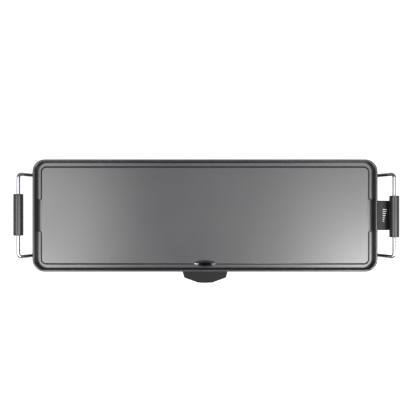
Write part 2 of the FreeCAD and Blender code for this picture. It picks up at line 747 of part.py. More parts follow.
def make_tray_rail(side):
    """Folded steel rail under the pan: flange, web and the ledge that the tray slides on."""
    y_range = (RAIL_FRONT_Y, RAIL_REAR_Y)
    web_out = RAIL_WEB_X + RAIL_SHEET
    flange = block((side * RAIL_WEB_X, side * RAIL_FLANGE_X), y_range, (PAN_LOW_Z - RAIL_SHEET, PAN_LOW_Z))
    web = block((side * RAIL_WEB_X, side * web_out), y_range, (RAIL_LEDGE_Z, PAN_LOW_Z))
    ledge = block((side * RAIL_LEDGE_X, side * web_out), y_range, (RAIL_LEDGE_Z, RAIL_LEDGE_Z + RAIL_SHEET))
    rail = joined([flange, web, ledge])
    places = [(side * RAIL_SCREW_X, y) for y in RAIL_SCREW_YS]
    radius = PAN_SCREW_RADIUS + SCREW_GAP
    return rail.cut(upright_holes(places, radius, PAN_LOW_Z - 2, PAN_LOW_Z + 1))


def make_tray_rail_screws():
    """Screws through both rails and the pan into the plate."""
    return screws_up(RAIL_SCREW_PLACES, PAN_LOW_Z - RAIL_SHEET, 12.0, PAN_SCREW_RADIUS, 3.4, 2.2)


def lip_outline(inset, z):
    """Plan of the tray's lip: nearly straight sides, slanting shoulders and a blunt nose."""
    root = LIP_ROOT_HALF - inset
    shoulder = LIP_SHOULDER_HALF - inset
    nose = LIP_NOSE_HALF - inset / 2
    nose_y = LIP_NOSE_Y + inset
    root_y = LIP_ROOT_Y
    shoulder_y = LIP_SHOULDER_Y + inset / 2
    side_y = (root_y + shoulder_y) / 2
    side_x = (root + shoulder) / 2 + 1.0
    left = Part.Arc(point(-root, root_y, z), point(-side_x, side_y, z), point(-shoulder, shoulder_y, z))
    right = Part.Arc(point(shoulder, shoulder_y, z), point(side_x, side_y, z), point(root, root_y, z))
    front = Part.Arc(point(-nose, nose_y + 0.6, z), point(0, nose_y, z), point(nose, nose_y + 0.6, z))
    edges = [
        left,
        Part.LineSegment(point(-shoulder, shoulder_y, z), point(-nose, nose_y + 0.6, z)),
        front,
        Part.LineSegment(point(nose, nose_y + 0.6, z), point(shoulder, shoulder_y, z)),
        right,
        Part.LineSegment(point(root, root_y, z), point(-root, root_y, z)),
    ]
    return Part.Wire([edge.toShape() for edge in edges])


def make_drip_tray():
    """Moulded tray with a flange along each side and a hollow lip to pull it out by."""
    length = 2 * TRAY_HALF_WIDTH
    depth = TRAY_BACK_Y - TRAY_FRONT_Y
    cy = (TRAY_BACK_Y + TRAY_FRONT_Y) / 2
    box = rounded_slab(length, depth, TRAY_CORNER, TRAY_LOW_Z, TRAY_TOP_Z, 0.0, cy)
    box = box.makeFillet(3.0, edges_at(box, TRAY_LOW_Z))
    flange_low = TRAY_TOP_Z - TRAY_WALL
    wide = length + 2 * TRAY_FLANGE_REACH
    flange = rounded_slab(wide, depth, TRAY_CORNER, flange_low, TRAY_TOP_Z, 0.0, cy)
    lip_face = Part.Face(lip_outline(0.0, LIP_LOW_Z))
    lip = lip_face.extrude(point(0, 0, LIP_TOP_Z - LIP_LOW_Z))
    front_edges = [e for e in edges_at(lip, LIP_TOP_Z) if e.CenterOfMass.y < LIP_ROOT_Y - 1]
    lip = lip.makeFillet(3.5, front_edges)
    hollow_face = Part.Face(lip_outline(LIP_WALL, LIP_LOW_Z - 1))
    hollow = hollow_face.extrude(point(0, 0, LIP_TOP_Z - LIP_WALL - LIP_LOW_Z + 1))
    neck = block(
        (-TRAY_HALF_WIDTH + 6, TRAY_HALF_WIDTH - 6),
        (LIP_ROOT_Y - TRAY_WALL, TRAY_FRONT_Y + TRAY_WALL),
        (LIP_LOW_Z, TRAY_TOP_Z),
    )
    back_wall = block(
        (-LIP_ROOT_HALF + 0.5, LIP_ROOT_HALF - 0.5),
        (LIP_ROOT_Y - TRAY_WALL, LIP_ROOT_Y),
        (LIP_LOW_Z, LIP_TOP_Z - 1),
    )
    tray = joined([box, flange, lip.cut(hollow), back_wall, neck])
    inner = 2 * TRAY_WALL
    room = rounded_slab(length - inner, depth - inner, TRAY_CORNER - TRAY_WALL, TRAY_LOW_Z + TRAY_WALL,
                        TRAY_TOP_Z + 1, 0.0, cy)
    room = room.makeFillet(1.6, edges_at(room, TRAY_LOW_Z + TRAY_WALL))
    return tray.cut(room)


# ---------------------------------------------------------------- control: housing

def control_slab(z_low, z_high, inset=0.0):
    """Upright slab with the plan of the control's housing."""
    length = CONTROL_END_X - CONTROL_START_X - 2 * inset
    width = 2 * (CONTROL_HALF_WIDTH - inset)
    cx = (CONTROL_START_X + CONTROL_END_X) / 2
    return rounded_slab(length, width, CONTROL_CORNER - inset, z_low, z_high, cx, 0.0)


def end_wall_cutters():
    """Openings for the dial's bush, the cord gland and the lens in the control's end wall."""
    start_x = CONTROL_END_X - CONTROL_WALL - 1
    end_x = CONTROL_END_X + 1
    holes = (
        (0.0, DIAL_Z, BUSH_RADIUS),
        (GLAND_Y, DIAL_Z, GLAND_RADIUS),
        (LENS_Y, LENS_Z, LENS_RADIUS),
    )
    return [bar(point(start_x, y, z), point(end_x, y, z), radius) for y, z, radius in holes]


def terminal_holes(start_x, end_x, radius, probe_radius):
    """Cutters for the two contacts and the probe between them."""
    places = ((-TERMINAL_Y, radius), (0.0, probe_radius), (TERMINAL_Y, radius))
    return [bar(point(start_x, y, ELEMENT_Z), point(end_x, y, ELEMENT_Z), r) for y, r in places]


def make_control_cover():
    """Upper half of the control's housing, with the closed nose that enters the guard."""
    cover = rounded_top(control_slab(CONTROL_SPLIT_Z, CONTROL_TOP_Z), CONTROL_TOP_Z, CONTROL_EDGE)
    nose = block(
        (NOSE_START_X, CONTROL_START_X + 5),
        (-NOSE_HALF_WIDTH, NOSE_HALF_WIDTH),
        (NOSE_LOW_Z, NOSE_TOP_Z),
    )
    cover = joined([cover, nose])
    inner = NOSE_HALF_WIDTH - NOSE_WALL
    cuts = [
        control_slab(CONTROL_SPLIT_Z - 1, CONTROL_TOP_Z - CONTROL_WALL, CONTROL_WALL),
        block(
            (NOSE_START_X + NOSE_WALL, CONTROL_START_X + 6),
            (-inner, inner),
            (NOSE_LOW_Z + NOSE_WALL, NOSE_TOP_Z - NOSE_WALL),
        ),
    ]
    cover = cover.cut(cuts)
    top = CONTROL_TOP_Z - CONTROL_WALL + 0.5
    posts = upright_holes(POST_PLACES, POST_RADIUS, CONTROL_SPLIT_Z, top)
    cover = joined([cover] + posts)
    holes = upright_holes(POST_PLACES, CONTROL_SCREW_RADIUS + SCREW_GAP, CONTROL_SPLIT_Z - 1, CONTROL_SPLIT_Z + 8)
    holes += end_wall_cutters()
    holes += terminal_holes(NOSE_START_X - 1, NOSE_START_X + 3, SOCKET_OUTER + 0.4, PROBE_RADIUS)
    return cover.cut(holes)


def make_control_base():
    """Lower half of the control's housing."""
    base = control_slab(CONTROL_LOW_Z, CONTROL_SPLIT_Z)
    base = base.makeFillet(CONTROL_EDGE, edges_at(base, CONTROL_LOW_Z))
    base = base.cut(control_slab(CONTROL_LOW_Z + CONTROL_WALL, CONTROL_SPLIT_Z + 1, CONTROL_WALL))
    posts = upright_holes(POST_PLACES, POST_RADIUS, CONTROL_LOW_Z + 1, CONTROL_SPLIT_Z)
    base = joined([base] + posts)
    holes = upright_holes(POST_PLACES, CONTROL_SCREW_RADIUS + SCREW_GAP, CONTROL_LOW_Z - 1, CONTROL_SPLIT_Z + 1)
    holes += upright_holes(POST_PLACES, CONTROL_HEAD_BORE, CONTROL_LOW_Z - 1, CONTROL_LOW_Z + CONTROL_HEAD_DEPTH)
    return base.cut(holes + end_wall_cutters())


def make_control_screws():
    """Screws that close the housing from below."""
    seat_z = CONTROL_LOW_Z + CONTROL_HEAD_DEPTH
    return screws_up(POST_PLACES, seat_z, 17.0, CONTROL_SCREW_RADIUS, CONTROL_HEAD_RADIUS, 1.8)


def make_shaft_bush():
    """Flanged bush that the dial's shaft turns in, held in the end wall."""
    outer = bar(point(CONTROL_END_X - CONTROL_WALL, 0, DIAL_Z), point(CONTROL_END_X, 0, DIAL_Z), BUSH_RADIUS)
    flange_start = point(CONTROL_END_X - CONTROL_WALL - 1.2, 0, DIAL_Z)
    flange_end = point(CONTROL_END_X - CONTROL_WALL, 0, DIAL_Z)
    flange = bar(flange_start, flange_end, BUSH_FLANGE_RADIUS)
    bore = bar(point(CONTROL_END_X - 8, 0, DIAL_Z), point(CONTROL_END_X + 1, 0, DIAL_Z), SHAFT_RADIUS + 0.05)
    return joined([outer, flange]).cut(bore)


def make_cord_gland():
    """Ring that lines the cord's way into the housing."""
    inside = point(CONTROL_END_X - CONTROL_WALL - 1.4, GLAND_Y, DIAL_Z)
    wall = point(CONTROL_END_X - CONTROL_WALL, GLAND_Y, DIAL_Z)
    face = point(CONTROL_END_X, GLAND_Y, DIAL_Z)
    proud = point(CONTROL_END_X + 1.6, GLAND_Y, DIAL_Z)
    flanges = [bar(inside, wall, GLAND_RADIUS + GLAND_LIP), bar(wall, face, GLAND_RADIUS)]
    flanges.append(bar(face, proud, GLAND_RADIUS + GLAND_LIP))
    return joined(flanges).cut(bar(inside - point(1, 0, 0), proud + point(1, 0, 0), GLAND_BORE))


def make_indicator_lens():
    """Domed red window for the lamp."""
    start = point(CONTROL_END_X - CONTROL_WALL, LENS_Y, LENS_Z)
    window = bar(start, point(CONTROL_END_X + 1.2, LENS_Y, LENS_Z), LENS_RADIUS)
    outer = [e for e in window.Edges if e.CenterOfMass.x > CONTROL_END_X + 1]
    flange_start = start - point(1.0, 0, 0)
    return joined([window.makeFillet(0.8, outer), bar(flange_start, start, LENS_RADIUS + 1.0)])


def make_indicator_lamp():
    """Small neon lamp behind the lens."""
    tip = point(CONTROL_END_X - CONTROL_WALL - 1.4, LENS_Y, LENS_Z)
    glass = bar(tip - point(9, 0, 0), tip, 2.2)
    rounded = [e for e in glass.Edges if e.CenterOfMass.x > tip.x - 0.1]
    return glass.makeFillet(1.6, rounded)


# ---------------------------------------------------------------- control: inside

def make_sensor_probe():
    """Closed tube that reaches into the well under the plate."""
    tip = point(PROBE_TIP_X, 0, ELEMENT_Z)
    root = point(PROBE_ROOT_X, 0, ELEMENT_Z)
    tube = bar(tip, root, PROBE_RADIUS)
    end = [e for e in tube.Edges if e.CenterOfMass.x < PROBE_TIP_X + 0.1]
    tube = tube.makeFillet(1.6, end)
    return tube.cut(bar(point(PROBE_TIP_X + 2, 0, ELEMENT_Z), root, PROBE_RADIUS - PROBE_WALL))


def make_expansion_rod():
    """Low-expansion rod inside the probe, which works the switch as the plate warms."""
    start = point(PROBE_TIP_X + 2, 0, ELEMENT_Z)
    return bar(start, point(EXPANSION_ROD_END_X, 0, ELEMENT_Z), ROD_INNER_RADIUS)


def make_contact_socket(y):
    """Slotted spring contact that grips a terminal pin."""
    start = point(SOCKET_START_X, y, ELEMENT_Z)
    tube = bar(start, point(SOCKET_END_X, y, ELEMENT_Z), SOCKET_OUTER)
    bore = bar(start, point(SOCKET_END_X - 4, y, ELEMENT_Z), SOCKET_INNER)
    slit = block((SOCKET_START_X, SOCKET_START_X + 12), (y - 5, y + 5), (ELEMENT_Z - 0.4, ELEMENT_Z + 0.4))
    return tube.cut([bore, slit])


def make_contact_block():
    """Ceramic block that carries both contacts in the nose."""
    inner = NOSE_HALF_WIDTH - NOSE_WALL
    body = block(
        (BLOCK_FRONT_X, BLOCK_REAR_X),
        (-inner, inner),
        (NOSE_LOW_Z + NOSE_WALL, NOSE_TOP_Z - NOSE_WALL),
    )
    return body.cut(terminal_holes(BLOCK_FRONT_X - 1, BLOCK_REAR_X + 1, SOCKET_OUTER, PROBE_RADIUS))


def make_switch_chassis():
    """Steel plate that the probe is fixed to, with arms that hold the pin guide and hinge."""
    plate = block(
        (CHASSIS_X, CHASSIS_X + CHASSIS_SHEET),
        (-CHASSIS_HALF_WIDTH, CHASSIS_HALF_WIDTH),
        (CHASSIS_LOW_Z, CHASSIS_TOP_Z),
    )
    floor = block(
        (CHASSIS_X, GUIDE_END_X),
        (-CHASSIS_HALF_WIDTH, CHASSIS_HALF_WIDTH),
        (CHASSIS_LOW_Z, CHASSIS_LOW_Z + CHASSIS_SHEET),
    )
    post = block(
        (GUIDE_START_X, GUIDE_END_X),
        (FOLLOWER_Y - 3, FOLLOWER_Y + 3),
        (CHASSIS_LOW_Z, DIAL_Z - FOLLOWER_RADIUS - 1.2),
    )
    hole = bar(
        point(CHASSIS_X - 1, 0, ELEMENT_Z),
        point(CHASSIS_X + 3, 0, ELEMENT_Z),
        ROD_INNER_RADIUS + 0.3,
    )
    return joined([plate, floor, post]).cut(hole)


def make_pin_guide():
    """Ceramic guide that the follower pin slides in."""
    guide = block(
        (GUIDE_START_X, GUIDE_END_X),
        (FOLLOWER_Y - 3, FOLLOWER_Y + 3),
        (DIAL_Z - FOLLOWER_RADIUS - 1.2, DIAL_Z + FOLLOWER_RADIUS + 1.2),
    )
    start = point(GUIDE_START_X - 1, FOLLOWER_Y, DIAL_Z)
    return guide.cut(bar(start, point(GUIDE_END_X + 1, FOLLOWER_Y, DIAL_Z), FOLLOWER_RADIUS + 0.05))


def make_follower_pin():
    """Ceramic pin that the cam pushes against the contact arm."""
    start = point(FOLLOWER_START_X, FOLLOWER_Y, DIAL_Z)
    return bar(start, point(FOLLOWER_END_X, FOLLOWER_Y, DIAL_Z), FOLLOWER_RADIUS)


def make_arm_pivot():
    """Upright pin on the chassis that the contact arm hangs on."""
    start = point(ARM_X, ARM_PIVOT_Y, CHASSIS_LOW_Z + CHASSIS_SHEET)
    return bar(start, point(ARM_X, ARM_PIVOT_Y, ARM_TOP_Z + 2), 1.0)


def make_contact_arm():
    """Moving contact arm: a flat blade with a rolled eye round its pivot."""
    eye_low = point(ARM_X, ARM_PIVOT_Y, ARM_LOW_Z)
    eye_top = point(ARM_X, ARM_PIVOT_Y, ARM_TOP_Z)
    blade = block(
        (ARM_X - ARM_SHEET / 2, ARM_X + ARM_SHEET / 2),
        (ARM_PIVOT_Y + 1.2, ARM_TIP_Y),
        (ARM_LOW_Z, ARM_TOP_Z),
    )
    eye = bar(eye_low, eye_top, 1.7)
    bore = bar(eye_low - point(0, 0, 1), eye_top + point(0, 0, 1), 1.05)
    return joined([blade, eye]).cut(bore)


def make_moving_contact():
    """Silver button riveted to the arm's end."""
    face = point(ARM_X - ARM_SHEET / 2, CONTACT_Y, DIAL_Z)
    return bar(face - point(0.9, 0, 0), face, 1.8)


def make_fixed_contact():
    """Blade on the chassis's insulator that the arm closes against, with its silver button."""
    front = ARM_X - 5.0
    blade = block((front - 0.8, front), (CONTACT_Y - 2.5, CONTACT_Y + 2.5), (42.0, ARM_TOP_Z))
    button = bar(point(front, CONTACT_Y, DIAL_Z), point(front + 0.8, CONTACT_Y, DIAL_Z), 1.8)
    return joined([blade, button])


def make_contact_insulator():
    """Ceramic foot that keeps the fixed contact off the chassis."""
    front = ARM_X - 5.0
    return block(
        (CHASSIS_X + CHASSIS_SHEET, front + 1.5),
        (CONTACT_Y - 3.5, CONTACT_Y + 3.5),
        (CHASSIS_LOW_Z + CHASSIS_SHEET, 42.0),
    )


def make_cord_terminals():
    """Brass blocks that the cord's wires are screwed into."""
    blocks = []
    for x in (364.0, 376.0):
        body = block((x, x + 8), (-27.0, -19.0), (CONTROL_LOW_Z + CONTROL_WALL, 44.0))
        wire_way = bar(point(x - 1, -23.0, 41.0), point(x + 9, -23.0, 41.0), 1.6)
        screw_way = bar(point(x + 4, -23.0, 40.0), point(x + 4, -23.0, 45.0), 1.35)
        blocks.append(body.cut([wire_way, screw_way]))
    return group(blocks)


def make_cord_terminal_screws():
    """Clamp screws in the brass blocks."""
    down = point(0, 0, -1)
    return group([screw(point(x, -23.0, 44.0), down, 3.4, 1.25, 2.2, 1.6) for x in (368.0, 380.0)])


# ---------------------------------------------------------------- dial

def make_dial_knob():
    """Round knob with grip ribs, a pointer ridge and a hub that takes the shaft."""
    start = point(DIAL_START_X, 0, DIAL_Z)
    end = point(DIAL_END_X, 0, DIAL_Z)
    skirt_end = point(DIAL_START_X + 3, 0, DIAL_Z)
    knob = Part.makeCone(DIAL_RADIUS - 1.4, DIAL_RADIUS - 2.6, (end - start).Length, start, point(1, 0, 0))
    face_edge = [e for e in knob.Edges if e.CenterOfMass.x > DIAL_END_X - 0.1]
    knob = knob.makeFillet(1.2, face_edge)
    skirt = bar(start, skirt_end, DIAL_RADIUS)
    ribs = []
    for index in range(DIAL_RIBS):
        angle = 2 * math.pi * index / DIAL_RIBS
        y = (DIAL_RADIUS - 2.1) * math.cos(angle)
        z = DIAL_Z + (DIAL_RADIUS - 2.1) * math.sin(angle)
        ribs.append(bar(point(DIAL_START_X, y, z), point(DIAL_END_X - 2.2, y, z), 0.9))
    knob = joined([knob, skirt] + ribs)
    groove = block((DIAL_END_X - 0.8, DIAL_END_X + 1), (-0.8, 0.8), (DIAL_Z + 3, DIAL_Z + DIAL_RADIUS))
    shaft_room = bar(start - point(1, 0, 0), point(DIAL_END_X - 3, 0, DIAL_Z), SHAFT_RADIUS)
    return knob.cut([groove, shaft_room])


def make_dial_shaft():
    """Turned shaft between the knob and the cam."""
    return bar(point(SHAFT_START_X, 0, DIAL_Z), point(DIAL_END_X - 3, 0, DIAL_Z), SHAFT_RADIUS)


def make_dial_cam():
    """Face cam: a disc whose front rises in fine steps, and pushes the pin in as the dial turns."""
    seat = point(CAM_FACE_X + CAM_RISE, 0, DIAL_Z)
    disc = bar(seat, point(CAM_BACK_X, 0, DIAL_Z), CAM_RADIUS)
    # Turned so that the first, lowest step faces the follower pin, and the rest follow it down.
    frame = FreeCAD.Placement(seat, FreeCAD.Rotation(point(0, 1, 0), point(0, 0, -1), point(-1, 0, 0), "ZXY"))
    step = DIAL_SWEEP / CAM_STEPS
    overlap = 0.01
    wedges = []
    for index in range(CAM_STEPS):
        rise = CAM_RISE * (index + 1) / CAM_STEPS
        wedge = Part.makeCylinder(CAM_RADIUS, rise, point(0, 0, 0), point(0, 0, 1), step + overlap)
        wedge.rotate(point(0, 0, 0), point(0, 0, 1), index * step - step / 2)
        wedge.Placement = frame.multiply(wedge.Placement)
        wedges.append(wedge)
    cam = joined([disc] + wedges)
    bore_start = point(CAM_FACE_X - 1, 0, DIAL_Z)
    return cam.cut(bar(bore_start, point(CAM_BACK_X + 1, 0, DIAL_Z), SHAFT_RADIUS))


# ---------------------------------------------------------------- writing

def corner_name(side, depth):
    """Words for one corner of the griddle."""
    return ("front" if depth < 0 else "rear") + "_" + ("left" if side < 0 else "right")


def all_pieces():
    """Every node's name with its shape."""
    pieces = {
        "cooking_plate": make_cooking_plate(),
        "heating_element": make_heating_element(),
        "element_end_seals": terminal_pieces(make_end_seal),
        "terminal_pins": terminal_pieces(make_terminal_pin),
        "element_clips": make_element_clips(),
        "element_clip_screws": make_element_clip_screws(),
        "terminal_guard": make_terminal_guard(),
        "guard_screws": make_guard_screws(),
        "base_pan": make_base_pan(),
        "pan_screws": make_pan_screws(),
        "leg_screws": make_leg_screws(),
        "left_handle_rod": make_handle_rod(-1),
        "right_handle_rod": make_handle_rod(1),
        "left_handle_grip": make_handle_grip(-1),
        "right_handle_grip": make_handle_grip(1),
        "left_tray_rail": make_tray_rail(-1),
        "right_tray_rail": make_tray_rail(1),
        "tray_rail_screws": make_tray_rail_screws(),
        "drip_tray": make_drip_tray(),
        "control_cover": make_control_cover(),
        "control_base": make_control_base(),
        "control_screws": make_control_screws(),
        "shaft_bush": make_shaft_bush(),
        "cord_gland": make_cord_gland(),
        "indicator_lens": make_indicator_lens(),
        "indicator_lamp": make_indicator_lamp(),
        "sensor_probe": make_sensor_probe(),
        "expansion_rod": make_expansion_rod(),
        "contact_sockets": terminal_pieces(make_contact_socket),
        "contact_block": make_contact_block(),
        "switch_chassis": make_switch_chassis(),
        "pin_guide": make_pin_guide(),
        "follower_pin": make_follower_pin(),
        "arm_pivot": make_arm_pivot(),
        "contact_arm": make_contact_arm(),
        "moving_contact": make_moving_contact(),
        "fixed_contact": make_fixed_contact(),
        "contact_insulator": make_contact_insulator(),
        "cord_terminals": make_cord_terminals(),
        "cord_terminal_screws": make_cord_terminal_screws(),
        "dial_knob": make_dial_knob(),
        "dial_shaft": make_dial_shaft(),
        "dial_cam": make_dial_cam(),
    }
    for side in (-1, 1):
        for depth in (-1, 1):
            corner = corner_name(side, depth)
            pieces[corner + "_leg"] = make_leg(side, depth)
            pieces[corner + "_foot_pad"] = make_foot_pad(side, depth)
    return pieces


def write_pieces():
    """Writes each node as a STEP file in the folder parts."""
    os.makedirs("parts", exist_ok=True)
    for name, shape in all_pieces().items():
        moved = shape.copy()
        moved.translate(ORIGIN_SHIFT)
        moved.exportStep(os.path.join("parts", name + ".step"))
        print(name, "solids", len(moved.Solids), "valid", moved.isValid(), "volume", round(moved.Volume, 1))


write_pieces()
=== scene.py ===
"""Looks of a long table-top electric griddle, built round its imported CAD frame."""

from __future__ import annotations

import logging
import math
from dataclasses import dataclass
from enum import Enum
from typing import Any, Sequence

import bmesh
import bpy
from mathutils import Matrix, Vector


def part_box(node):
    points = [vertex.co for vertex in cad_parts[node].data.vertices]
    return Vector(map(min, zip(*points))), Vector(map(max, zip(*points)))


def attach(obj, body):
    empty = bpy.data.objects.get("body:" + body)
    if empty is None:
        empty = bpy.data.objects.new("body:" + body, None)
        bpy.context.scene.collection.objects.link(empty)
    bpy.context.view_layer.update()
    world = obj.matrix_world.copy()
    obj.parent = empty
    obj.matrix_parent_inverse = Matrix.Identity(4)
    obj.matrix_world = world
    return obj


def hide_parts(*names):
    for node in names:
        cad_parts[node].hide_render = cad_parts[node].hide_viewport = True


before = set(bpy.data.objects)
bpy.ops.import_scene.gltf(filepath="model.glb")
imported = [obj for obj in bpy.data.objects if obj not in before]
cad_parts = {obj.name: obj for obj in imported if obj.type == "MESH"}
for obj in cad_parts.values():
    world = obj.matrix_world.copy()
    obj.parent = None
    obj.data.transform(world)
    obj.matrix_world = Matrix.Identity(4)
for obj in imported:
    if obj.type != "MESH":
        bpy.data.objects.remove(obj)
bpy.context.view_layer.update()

LOG = logging.getLogger("griddle")
MM = 0.001
Point = tuple[float, float, float]
SHARP_DEGREES = 32.0
ROUNDED_DEGREES = 50.0
FLAT_DEGREES = 0.4


# ---- places and small helpers


class Body(Enum):
    """The moving bodies that pieces ride on."""

    GRIDDLE = "griddle"
    TRAY = "drip_tray"
    CONTROL = "control"
    DIAL = "dial"


@dataclass(frozen=True)
class Layout:
    """Turns millimetres about the plate's middle into metres in the row frame."""

    middle_x: float
    middle_y: float

    @classmethod
    def from_plate(cls) -> Layout:
        """Reads the plate's middle from its CAD box.

        Returns:
            The layout for this griddle.
        """
        low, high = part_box("cooking_plate")
        return cls((low.x + high.x) / 2, (low.y + high.y) / 2)

    def at(self, x: float, y: float, z: float) -> Vector:
        """One point.

        Args:
            x: Along the plate, in millimetres from its middle.
            y: Towards the rear, in millimetres from its middle.
            z: Height above the table, in millimetres.

        Returns:
            The point in metres.
        """
        return Vector((self.middle_x + x * MM, self.middle_y + y * MM, z * MM))


LAYOUT = Layout.from_plate()


def linear_rgb(hex_colour: str) -> tuple[float, float, float, float]:
    """Turns an sRGB hex colour to linear.

    Args:
        hex_colour: Six hex digits after a hash sign.

    Returns:
        Linear red, green, blue and an alpha of one.
    """
    channels = [int(hex_colour[i : i + 2], 16) / 255 for i in (1, 3, 5)]
    linear = [c / 12.92 if c <= 0.04045 else ((c + 0.055) / 1.055) ** 2.4 for c in channels]
    return (linear[0], linear[1], linear[2], 1.0)


def add_node(tree: bpy.types.NodeTree, kind: str, inputs: dict[Any, Any] | None = None, **settings: Any) -> Any:
    """Adds a node with its settings and links.

    Args:
        tree: The tree to add to.
        kind: The node's type name.
        inputs: Values or output sockets, by input name or number.
        **settings: Properties of the node.

    Returns:
        The new node.
    """
    node = tree.nodes.new(kind)
    for name, value in settings.items():
        setattr(node, name, value)
    for key, value in (inputs or {}).items():
        if isinstance(value, bpy.types.NodeSocket):
            tree.links.new(value, node.inputs[key])
        else:
            node.inputs[key].default_value = value
    return node


# ---- finishes


class Grain(Enum):
    """How a surface's fine relief is drawn."""

    SPRAYED = "sprayed"
    MOULDED = "moulded"
    DRAWN = "drawn"
    SHEET = "sheet"
    CAST = "cast"


@dataclass(frozen=True)
class Finish:
    """A surface made of one stuff: its colours, its gloss and its relief.

    The relief's size and height, and the size of the cloudy change in colour and gloss, are in
    millimetres on the real piece.
    """

    name: str
    slot: str
    colour: str
    second_colour: str
    roughness: float
    roughness_spread: float = 0.06
    metallic: float = 0.0
    ior: float = 1.5
    specular: float = 0.5
    transmission: float = 0.0
    grain: Grain = Grain.MOULDED
    grain_mm: float = 0.8
    relief_mm: float = 0.02
    cloud_mm: float = 40.0
    stretch: Point = (1.0, 1.0, 1.0)

    def relief(self, tree: bpy.types.NodeTree, coords: Any) -> Any:
        """Draws the fine relief.

        Args:
            tree: The material's tree.
            coords: The output socket with Object coordinates.

        Returns:
            The output socket with the height, from 0 to 1.
        """
        scale = 1.0 / (self.grain_mm * MM)
        if self.grain is Grain.SPRAYED:
            drops = add_node(
                tree, "ShaderNodeTexVoronoi", {"Vector": coords, "Scale": scale}, feature="SMOOTH_F1"
            ).outputs["Distance"]
            swell = add_node(
                tree, "ShaderNodeTexNoise", {"Vector": coords, "Scale": scale / 3, "Detail": 3.0}
            ).outputs["Fac"]
            return add_node(tree, "ShaderNodeMath", {0: drops, 1: swell}, operation="MULTIPLY").outputs[0]
        if self.grain is Grain.SHEET:
            spangle = add_node(tree, "ShaderNodeTexVoronoi", {"Vector": coords, "Scale": scale})
            return spangle.outputs["Distance"]
        placed = coords
        if self.grain is Grain.DRAWN:
            placed = add_node(
                tree, "ShaderNodeMapping", {"Vector": coords, "Scale": Vector(self.stretch)}
            ).outputs[0]
        detail = 8.0 if self.grain is Grain.CAST else 2.0
        noise = add_node(tree, "ShaderNodeTexNoise", {"Vector": placed, "Scale": scale, "Detail": detail})
        return noise.outputs["Fac"]

    def build(self) -> bpy.types.Material:
        """Makes the material.

        Returns:
            The material, named for what it is.
        """
        material = bpy.data.materials.new(self.name)
        material.use_nodes = True
        tree = material.node_tree
        tree.nodes.clear()
        coords = add_node(tree, "ShaderNodeTexCoord").outputs["Object"]
        cloud = add_node(
            tree,
            "ShaderNodeTexNoise",
            {"Vector": coords, "Scale": 1.0 / (self.cloud_mm * MM), "Detail": 4.0, "Roughness": 0.55},
        ).outputs["Fac"]
        height = self.relief(tree, coords)
        tint = add_node(
            tree,
            "ShaderNodeMix",
            {0: cloud, 6: linear_rgb(self.colour), 7: linear_rgb(self.second_colour)},
            data_type="RGBA",
        ).outputs[2]
        gloss = add_node(
            tree,
            "ShaderNodeMapRange",
            {
                "Value": cloud,
                "From Min": 0.3,
                "From Max": 0.7,
                "To Min": max(0.02, self.roughness - self.roughness_spread),
                "To Max": min(1.0, self.roughness + self.roughness_spread),
            },
        ).outputs[0]
        bump = add_node(
            tree, "ShaderNodeBump", {"Height": height, "Strength": 1.0, "Distance": self.relief_mm * MM}
        ).outputs[0]
        shader = add_node(
            tree,
            "ShaderNodeBsdfPrincipled",
            {
                "Base Color": tint,
                "Roughness": gloss,
                "Metallic": self.metallic,
                "IOR": self.ior,
                "Specular IOR Level": self.specular,
                "Transmission Weight": self.transmission,
                "Normal": bump,
            },
        )
        add_node(tree, "ShaderNodeOutputMaterial", {"Surface": shader.outputs[0]})
        return material


# PTFE-based coating, sprayed on blasted cast aluminium and baked: a dark, satin grey with a fine
# pebbled skin. The droplets are about 0.5 mm across and drawn at 1.3 mm, so that they show.
NON_STICK = Finish(
    "baked non-stick coating on cast aluminium", "nonstick_plate", "#2b2b2e", "#303033", 0.3,
    roughness_spread=0.02, specular=1.0, grain=Grain.SPRAYED, grain_mm=1.3, relief_mm=0.05, cloud_mm=120.0,
)
# Heat-resistant silicone paint, baked on to the rim and skirt: black, satin, finely pebbled. The same black also goes
# on every steep face of the top, such as the rim's inner wall and the drain's sides, as painted shade where those
# walls look dark.
RIM_PAINT_AND_WALL_SHADE = Finish(
    "baked silicone paint on cast aluminium", "nonstick_plate", "#161618", "#1b1b1d", 0.42,
    roughness_spread=0.03, specular=0.45, grain=Grain.SPRAYED, grain_mm=1.3, relief_mm=0.04, cloud_mm=90.0,
)
# The same casting where it isn't coated: pale grey with the mould's grain of about a millimetre.
CAST_ALUMINIUM = Finish(
    "die-cast aluminium as cast", "nonstick_plate", "#9b9c9d", "#83858a", 0.55,
    metallic=1.0, grain=Grain.CAST, grain_mm=1.5, relief_mm=0.08, cloud_mm=35.0,
)
# Bright chrome plate on drawn steel rod: a mirror with the rod's faint lengthwise draw lines.
CHROME = Finish(
    "chrome plate on drawn steel rod", "chrome", "#a2a5aa", "#adb0b4", 0.15,
    roughness_spread=0.02, metallic=1.0, grain_mm=14.0, relief_mm=0.03, cloud_mm=25.0,
)
# Compression-moulded phenolic: deep black, satin, with a fine stoned mould grain of 0.4 mm.
PHENOLIC = Finish(
    "compression-moulded phenolic", "phenolic", "#1d1d1f", "#262628", 0.34,
    roughness_spread=0.05, ior=1.6, grain_mm=0.7, cloud_mm=30.0,
)
# Injection-moulded polypropylene: near black, waxy, with an eroded mould texture of 0.5 mm.
POLYPROPYLENE = Finish(
    "injection-moulded polypropylene", "tray_plastic", "#0f1011", "#151617", 0.5,
    ior=1.49, specular=0.2, relief_mm=0.05, cloud_mm=18.0,
)
# Injection-moulded glass-filled nylon: black with a spark-eroded grain that greys it slightly.
NYLON = Finish(
    "injection-moulded glass-filled nylon", "control_plastic", "#101012", "#161618", 0.45,
    roughness_spread=0.05, ior=1.53, specular=0.25, grain_mm=0.6, relief_mm=0.03, cloud_mm=16.0,
)
